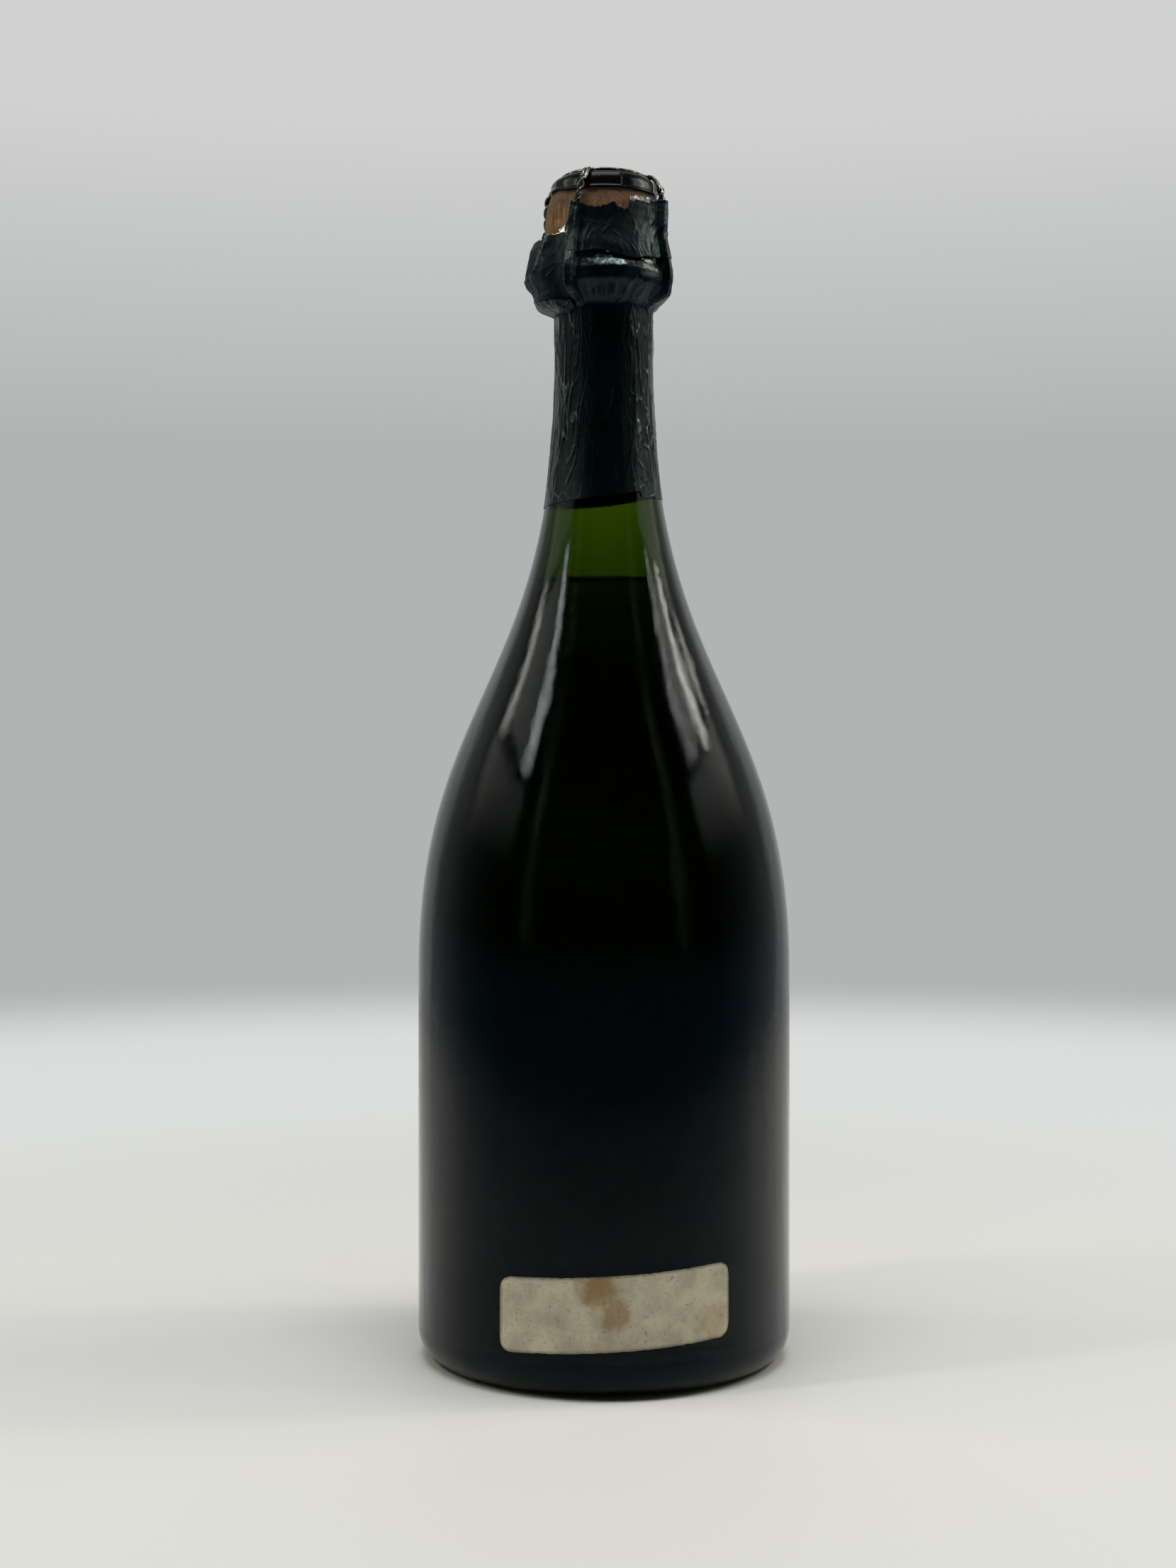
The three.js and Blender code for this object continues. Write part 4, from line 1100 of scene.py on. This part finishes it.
def make_hat(*sizes):
    """The torn upper part of the capsule, drawn in over the legs and folded round the cork's head."""
    glass, _, _, foil = sizes
    edge_azimuths, edge_rises = zip(*HAT_EDGE)
    edge_heights = [LIP + rise * MM for rise in edge_rises]

    def place(across, up):
        azimuth = mix(foil.start, foil.end, across)
        foot = tear(azimuth, foil) + gape(azimuth, foil) / 2 + ragged(azimuth, 14, 2.0, 0.16 * MM)
        top = np.interp(azimuth, edge_azimuths, edge_heights) + ragged(azimuth, 15, 1.8, 0.42 * MM)
        height = mix(foot, top, up)
        tab = bell(height - LIP, 5.8 * MM, 1.5 * MM)
        azimuth = azimuth + (1 - smooth(across, 0, 0.03)) * (ragged(height / MM, 16, 1.6, 1.3) - 9 * tab)
        lean = smooth(height, LIP - 1.5 * MM, LIP + 8.5 * MM)
        radius = mix(glass.bague_radius + 0.2 * MM, CORK_HEAD_RADIUS + 0.35 * MM, lean)
        radius = radius - 0.25 * MM * smooth(height, LIP + 11 * MM, LIP + 15 * MM)
        radius, lines = over_legs(sizes, azimuth, height, radius, 0.05 * MM)
        spots = around(azimuth, radius, height)
        right = smooth(azimuth, 34, 54)
        bow = azimuth - 16 * smooth(height, LIP, LIP + 13 * MM) + 4 * bumps(spots, 5, 9)
        folds = (0.5 + 0.5 * np.cos(np.radians(bow * 360 / 9.5))) ** 3
        folds = folds * mix(0.08, 1, right) * np.sin(np.pi * np.clip(up, 0, 1)) ** 0.5
        fine = wrinkles("hat", foil, azimuth, height, radius)
        gathers = wrinkles("hat_foot", foil, azimuth, height, radius)
        crease = np.maximum(np.maximum(0.8 * folds * right, 0.7 * fine), 0.6 * gathers)
        curl = 0.1 * MM * (1 - smooth(height - foot, 0, 1.1 * MM)) * gape(azimuth, foil) / foil.tear_gap
        lift = 0.3 * MM * (1 - smooth(top - height, 0, 1.2 * MM)) * (0.6 + bumps(spots, 2.2, 10))
        dents = 0.16 * MM * bumps(spots, (4, 4, 3), 12)
        radius = radius + 0.8 * foil.crease * folds + foil.crease * np.maximum(0.6 * fine, 0.5 * gathers)
        radius = radius + curl + lift + dents + 0.1 * MM + 0.12 * MM * lines
        strip = smooth(azimuth, 23, 25) * (1 - smooth(azimuth, 44, 52))
        strip = strip * (1 - smooth(top - height, 0.9 * MM, 1.4 * MM))
        left = (1 - smooth(across, 0.006, 0.016)) * (0.25 + tab)
        rim = 0.55 * (1 - smooth(top - height, 0, 0.5 * MM))
        bare = np.maximum(np.maximum(0.62 * strip, 0.7 * left), 0.55 * rim)
        # Painted highlight lines along the ridge edges over the legs
        crease = np.maximum(0.5 * crease + 0.06 * (1 - right), 0.9 * lines)
        return around(azimuth, radius, height), {"crease": crease, "bare": bare, "crumple": 0.38 + 0 * crease}

    return sheet(place, columns=420, rows=60, thickness=foil.sheet)


FLAP_OUTLINE = (  # millimetres above the belt, and radius, of the flap where it covers the eye
    (-1.4, 17.2), (-0.7, 17.7), (0.3, 17.95), (1.4, 17.9), (2.3, 18.2), (4.2, 19.4), (6.0, 19.8), (8.6, 19.6),
    (11.3, 19.2), (13.3, 18.8), (15.4, 18.0),
)
# Millimetres above the flap's tip, with the azimuth of its fold or the degrees that its edge is torn back
FLAP_CREST = ((-0.7, -88), (-0.2, -69), (1.7, -60), (6.7, -54), (9.9, -51))
FLAP_EDGE = ((-7.4, 9), (-3.6, 4), (0, 0), (4.4, 5), (9.4, 15))


def make_eye_flap(*sizes):
    """The torn flap over the eye: it bulges over the loop, and its far edge curls out into a leaf."""
    glass, _, hood, foil = sizes
    foot = BELT_HEIGHT - 1.4 * MM
    tip = BELT_HEIGHT + 5.9 * MM
    cover = math.degrees((hood.eye_half_width + 2 * hood.wire_radius) / glass.bague_radius)

    def read(table, base, height):
        """A table's values at an array of heights, its rows given in millimetres above a base."""
        rises, values = zip(*table)
        return np.interp(height, [base + rise * MM for rise in rises], values)

    def place(across, up):
        azimuth = mix(foil.flap_start, foil.flap_end, across)
        top = LIP + foil.flap_top + ragged(azimuth, 17, 3.0, 0.35 * MM)
        torn_up = 1.8 * MM * (1 - smooth(azimuth, foil.flap_start, -86))
        bottom = foot + ragged(azimuth, 18, 3.0, 0.2 * MM) + torn_up
        bottom = bottom + 0.7 * MM * bell(azimuth, hood.eye, 17)
        height = mix(bottom, top, up)
        azimuth = azimuth + (1 - across) * read(FLAP_EDGE, tip, height)
        azimuth = azimuth + (1 - smooth(across, 0, 0.05)) * ragged(height / MM, 19, 2.2, 1.6)
        tent = read([(rise, radius * MM) for rise, radius in FLAP_OUTLINE], BELT_HEIGHT, height)
        lean = smooth(height, LIP - 1.5 * MM, LIP + 6 * MM)
        plain = mix(foil.collar_radius, CORK_HEAD_RADIUS + 1.4 * MM, lean)
        plain = mix(glass.bague_radius - 0.2 * MM, plain, smooth(height, foot, foot + 3.5 * MM))
        neck = glass_radius(glass, height) + foil.gap
        tucked = mix(neck, foil.collar_radius, over_bague(glass, height)) + 0.25 * MM
        plain = mix(plain, np.minimum(plain, tucked), smooth(azimuth, -48, -36))
        over = 1 - smooth(np.abs(azimuth - hood.eye), cover, 1.9 * cover)
        radius = mix(plain, np.maximum(plain, tent), over)
        radius, lines = over_legs(sizes, azimuth, height, radius, 0.1 * MM, up_the_leg(height))
        radius = radius + 0.16 * MM * smooth(azimuth, foil.start - 5, foil.start + 1)
        reach = np.clip(1 - np.abs(height - tip) / np.where(height > tip, 9.4 * MM, 3.4 * MM), 0, 1)
        leaf = 1 - smooth(azimuth, -96, -74)
        behind = read(FLAP_CREST, tip, height) - azimuth
        fold = np.exp(-np.abs(behind) / 2.0) * smooth(height, tip - 0.6 * MM, tip + 0.8 * MM)
        pocket = smooth(behind, 0, 9) * (1 - smooth(behind, 16, 34))
        pocket = pocket * smooth(height, tip - 0.5 * MM, tip + 2 * MM)
        spots = around(azimuth, radius, height)
        dents = 0.24 * MM * bumps(spots, (6, 6, 4), 14)
        dents = dents + 0.08 * MM * bumps(spots, 2.2, 15)
        dents = dents * (1 - smooth(azimuth, foil.flap_end - 10, foil.flap_end - 2))
        fine = wrinkles("flap", foil, azimuth, height, radius)
        # Painted highlight lines along the ridge edge over the leg, with the fold and the wrinkles
        crease = np.maximum(np.maximum(0.7 * fine, 1.6 * fold), 1.6 * lines)
        curled = foil.leaf * (leaf * reach + 0.6 * fold - 1.3 * pocket)
        radius = radius + curled + dents + 0.7 * foil.crease * fine
        rim = 0.5 * (1 - smooth(top - height, 0, 0.6 * MM))
        crease = 0.1 + 0.5 * crease
        return around(azimuth, radius, height), {"crease": crease, "bare": rim, "crumple": 0.52 + 0 * crease}

    return sheet(place, columns=110, rows=90, thickness=foil.sheet)


# Labels

EDGE_UNIT = 10 * MM  # from a label's edge, where its from_edge mark is 1


def make_label(glass, labels, size, corner, azimuth, middle, tilt, seed):
    """A paper label with round corners, wrapped on the bottle's side, with lifted and nicked edges."""
    long, tall = size
    surface = glass.body_radius + labels.gap + labels.sheet

    def place(across, up):
        along = (across - 0.5) * long
        from_end = np.minimum(long / 2 - np.abs(along), corner)
        cut_off = corner - np.sqrt(np.maximum(0, corner ** 2 - (corner - from_end) ** 2))
        half = tall / 2 - cut_off
        height = middle + along * math.tan(math.radians(tilt)) + (2 * up - 1) * half
        turn = azimuth + np.degrees(along / surface)
        spots = around(turn, surface, height)
        edge = np.minimum(half * (1 - np.abs(2 * up - 1)), long / 2 - np.abs(along))
        near = 1 - smooth(edge, 0, 0.8 * MM)
        nick = 0.22 * MM * np.clip(bumps(spots, 0.9, seed) - 0.05, 0, 1) * near
        height = height - nick * np.sign(2 * up - 1) * 1.6
        lift = 0.05 * MM * (1 + bumps(spots, (5, 5, 3), seed + 1)) * smooth(edge, 0, 1.5 * MM)
        curl = 0.12 * MM * near * np.clip(bumps(spots, 3.5, seed + 2), 0, 1)
        return around(turn, surface + lift + curl, height), {"from_edge": edge / EDGE_UNIT}

    return sheet(place, columns=170, rows=60, thickness=labels.sheet)


# Operators

class MakeGlass(bpy.types.Operator):
    """Spin the glass bottle and the wine in it"""

    bl_idname = "bottle.make_glass"
    bl_label = "Glass and wine"

    def execute(self, context):
        glass = context.scene.bottle_glass
        bottle = make_glass(glass)
        finish_piece(bottle, "bottle", "glass_bottle", "bottle", mould_blown_glass(glass))
        finish_piece(make_wine(glass), "still_wine", "wine", "bottle", still_wine(glass))
        return {"FINISHED"}


class MakeCork(bpy.types.Operator):
    """Spin the mushroom cork and its two glued discs"""

    bl_idname = "bottle.make_cork"
    bl_label = "Cork"

    def execute(self, context):
        cork = context.scene.bottle_cork
        body = pressed_cork("pressed_cork", cork.cork, cork.cork_dark, 2.4 * MM)
        natural = pressed_cork("natural_cork", cork.cork_disc, cork.cork_dark, 9 * MM)
        finish_piece(make_cork_body(cork), "mushroom_cork", "cork_body", "cork", body)
        for name in ("lower_disc", "upper_disc"):
            disc = make_cork_disc(f"cork_{name}")
            finish_piece(disc, name, f"cork_{name}", "cork", natural)
        return {"FINISHED"}


class MakeHood(bpy.types.Operator):
    """Bend the wire hood with its belt and eye, and press its cap"""

    bl_idname = "bottle.make_hood"
    bl_label = "Cap and wire hood"

    def execute(self, context):
        scene = context.scene
        glass, cork, hood = scene.bottle_glass, scene.bottle_cork, scene.bottle_hood
        cap = make_cap(cork, hood)
        finish_piece(cap, "cap", "metal_cap", "hood", lacquered_tinplate(cork))
        steel = tarnished_wire(hood)
        for count in range(1, LEGS + 1):
            strands = make_hood_wire(glass, cork, hood, count - 1)
            finish_piece(strands, f"twisted_wire_{count}", f"hood_wire_{count}", "hood", steel)
        finish_piece(make_belt(glass, hood), "belt", "belt_wire", "hood", steel)
        finish_piece(make_eye(glass, hood), "eye", "eye_wire", "eye", steel)
        return {"FINISHED"}


class MakeFoil(bpy.types.Operator):
    """Wrap and tear the foil: the capsule, the hat and the flap over the eye"""

    bl_idname = "bottle.make_foil"
    bl_label = "Foil"

    def execute(self, context):
        scene = context.scene
        sizes = (scene.bottle_glass, scene.bottle_cork, scene.bottle_hood, scene.bottle_foil)
        finish = lacquered_foil(scene.bottle_foil)
        finish_piece(make_capsule(*sizes), "capsule", "foil_capsule", "bottle", finish)
        finish_piece(make_hat(*sizes), "torn_hat", "foil_hat", "foil_hat", finish)
        finish_piece(make_eye_flap(*sizes), "eye_flap", "foil_eye_flap", "eye", finish)
        return {"FINISHED"}


class MakeLabels(bpy.types.Operator):
    """Paste on the strip label and the main label"""

    bl_idname = "bottle.make_labels"
    bl_label = "Labels"

    def execute(self, context):
        glass, labels = context.scene.bottle_glass, context.scene.bottle_labels
        strip = make_label(
            glass, labels, (labels.strip_length, labels.strip_height), labels.strip_corner,
            labels.strip_azimuth, labels.strip_middle, labels.strip_tilt, seed=21,
        )
        finish_piece(strip, "bare_strip_label", "strip_label", "bottle", aged_paper(labels))
        back = 180
        label = make_label(
            glass, labels, (labels.main_length, labels.main_height), labels.main_corner,
            back, labels.main_middle, tilt=0, seed=31,
        )
        finish_piece(label, "bare_main_label", "main_label", "bottle", bordered_paper(labels))
        return {"FINISHED"}


WARM = "#fff8e6"
WHITE = "#ffffff"
LAMPS = (  # name, azimuth, elevation, distance, width and height in metres, watts, tint, fades downwards
    ("overhead", 180, 80, 1.2, 0.9, 0.6, 10.5, WHITE, False),
    ("left_window", -96, 42, 1.0, 0.58, 0.34, 0.9, WARM, False),
    ("left_near_bar", -114, 41, 0.98, 0.06, 0.34, 1.3, WARM, False),
    ("left_far_bar", -80, 37, 0.98, 0.07, 0.26, 0.45, WARM, False),
    ("left_wall", -96, 19, 1.2, 0.9, 0.45, 0.55, WARM, True),
    ("right_window", 86, 41, 1.0, 0.5, 0.32, 1.5, WARM, False),
    ("right_near_bar", 103, 39, 0.98, 0.03, 0.3, 0.35, WARM, False),
    ("right_middle_bar", 84, 38, 0.98, 0.1, 0.32, 1.4, WARM, False),
    ("right_far_bar", 68, 35, 0.98, 0.025, 0.24, 0.3, WARM, False),
    ("right_wall", 90, 19, 1.2, 0.9, 0.45, 0.8, WARM, True),
    ("left_glint", -133, 22, 0.98, 0.006, 0.9, 0.1, WARM, False),
    ("right_glint", 133, 22, 0.98, 0.006, 0.9, 0.1, WARM, False),
)
LAMP_AIM = Vector((0, 0, 0.17))


def soft_box(name, azimuth, elevation, distance, width, height, power, tint, fades):
    """A flat lamp that faces the bottle. Here azimuth 0 is behind the bottle and 180 at the camera."""
    turn, rise = math.radians(azimuth), math.radians(elevation)
    way = Vector((math.sin(turn) * math.cos(rise), math.cos(turn) * math.cos(rise), math.sin(rise)))
    deselect()
    bpy.ops.object.light_add(type="AREA", location=LAMP_AIM + distance * way)
    lamp = bpy.context.object
    lamp.name = name
    lamp.rotation_euler = way.to_track_quat("Z", "Y").to_euler()
    lamp.data.shape = "RECTANGLE"
    lamp.data.size = width
    lamp.data.size_y = height
    lamp.data.energy = power
    lamp.data.color = linear(tint)
    lamp.visible_transmission = False
    if fades:
        add = node_adder(lamp.data)
        up = add("SeparateXYZ", add("NewGeometry").outputs["Parametric"]).outputs["Y"]
        strength = add("MapRange", up, 0.1, 0.9, 0, 2, interpolation_type="SMOOTHSTEP")
        add("OutputLight", add("Emission", Strength=strength))


class MakeStage(bpy.types.Operator):
    """Set the camera, the pale floor, the background and the soft lights"""

    bl_idname = "bottle.make_stage"
    bl_label = "Stage"

    def execute(self, context):
        stage = context.scene.bottle_stage
        self.camera(context, stage)
        self.floor(stage)
        self.world(context, stage)
        for lamp in LAMPS:
            soft_box(*lamp)
        context.scene.view_settings.view_transform = "Standard"
        return {"FINISHED"}

    def camera(self, context, stage):
        """The camera stands level in front of the bottle."""
        deselect()
        spot = (stage.camera_x, -stage.camera_distance, stage.camera_height)
        bpy.ops.object.camera_add(location=spot, rotation=(math.pi / 2, 0, 0))
        camera = bpy.context.object
        camera.data.sensor_fit = "VERTICAL"
        camera.data.sensor_height = 36
        camera.data.lens = stage.lens
        camera.data.clip_start = 10 * MM
        context.scene.camera = camera

    def floor(self, stage):
        """A round pale floor that fades into the background."""
        deselect()
        bpy.ops.mesh.primitive_circle_add(vertices=128, radius=stage.floor_radius, fill_type="NGON")
        floor = bpy.context.object
        floor.name = "floor"
        material, add = new_material("matt_white_floor")
        place = add("TexCoord").outputs["Object"]
        rays = add("LightPath").outputs
        far = add("VectorMath", place, operation="LENGTH")
        fade = add("MapRange", far, stage.floor_fade, stage.floor_radius, interpolation_type="SMOOTHSTEP")
        back = add("VectorMath", place, (0, 0.35, 0), operation="DISTANCE")
        front = add("MapRange", back, 0.48, 0.86, 0, 0.95)
        unlit = add("Math", front, rays["Is Glossy Ray"], operation="MULTIPLY")
        under = add("NewGeometry").outputs["Backfacing"]
        hidden = add("Math", fade, unlit, operation="MAXIMUM")
        gone = add("Math", hidden, under, operation="MAXIMUM")
        away = add("MapRange", far, 0.1, 0.45, 0, 0.9, interpolation_type="SMOOTHSTEP")
        even = add("Math", away, rays["Is Camera Ray"], operation="MULTIPLY")
        matt = add("BsdfPrincipled", stage.floor, Roughness=0.6)
        lit = add("MixShader", even, matt, add("Emission", stage.far_floor, 1))
        add("OutputMaterial", add("MixShader", gone, lit, add("BsdfTransparent")))
        floor.data.materials.append(material)

    def world(self, context, stage):
        """Pale to the eye and through glass, but dark towards the camera where a surface mirrors it."""
        world = bpy.data.worlds.new("studio")
        context.scene.world = world
        add = node_adder(world)
        way = add("SeparateXYZ", add("TexCoord").outputs["Generated"]).outputs
        backdrop = add("ValToRGB", way["Z"], stops=((0, stage.low), (0.16, stage.low), (0.3, stage.high)))
        behind = add("MapRange", way["Y"], 0.52, 0.73, interpolation_type="SMOOTHSTEP")
        rays = add("LightPath").outputs
        seen = add("Math", rays["Is Camera Ray"], rays["Is Transmission Ray"], operation="MAXIMUM")
        sides = add("MapRange", way["Y"], -0.35, 0.5, 0, 0.5)
        mirrored = add("Math", sides, rays["Is Glossy Ray"], operation="MULTIPLY")
        around_back = add("Math", behind, mirrored, operation="MAXIMUM")
        share = add("Math", seen, around_back, operation="MAXIMUM")
        pale = add("Background", backdrop, 1)
        room = add("MapRange", way["Z"], 0.02, -0.1, 0.03, 1)
        dark = add("Background", stage.room, room)
        add("OutputWorld", add("MixShader", share, dark, pale))


OPERATORS = (MakeStage, MakeGlass, MakeCork, MakeHood, MakeFoil, MakeLabels)


class BottlePanel(bpy.types.Panel):
    """The bottle's pieces and their sizes"""

    bl_idname = "VIEW3D_PT_bottle"
    bl_label = "Bottle"
    bl_space_type = "VIEW_3D"
    bl_region_type = "UI"
    bl_category = "Bottle"

    def draw(self, context):
        for operator in OPERATORS:
            self.layout.operator(operator.bl_idname)
        for name, group in GROUPS.items():
            box = self.layout.box()
            box.label(text=group.__doc__)
            for setting in group.__annotations__:
                box.prop(getattr(context.scene, name), setting)


CLASSES = (*GROUPS.values(), *OPERATORS, BottlePanel)


def register():
    """Registers the classes and hangs the settings on the scene."""
    for item in CLASSES:
        bpy.utils.register_class(item)
    for name, group in GROUPS.items():
        setattr(bpy.types.Scene, name, PointerProperty(type=group))


def unregister():
    """Takes the settings off the scene and the classes out again."""
    for name in GROUPS:
        delattr(bpy.types.Scene, name)
    for item in reversed(CLASSES):
        bpy.utils.unregister_class(item)


def main():
    """Makes every piece in order."""
    register()
    bpy.ops.bottle.make_stage()
    bpy.ops.bottle.make_glass()
    bpy.ops.bottle.make_cork()
    bpy.ops.bottle.make_hood()
    bpy.ops.bottle.make_foil()
    bpy.ops.bottle.make_labels()


if __name__ == "__main__":
    main()
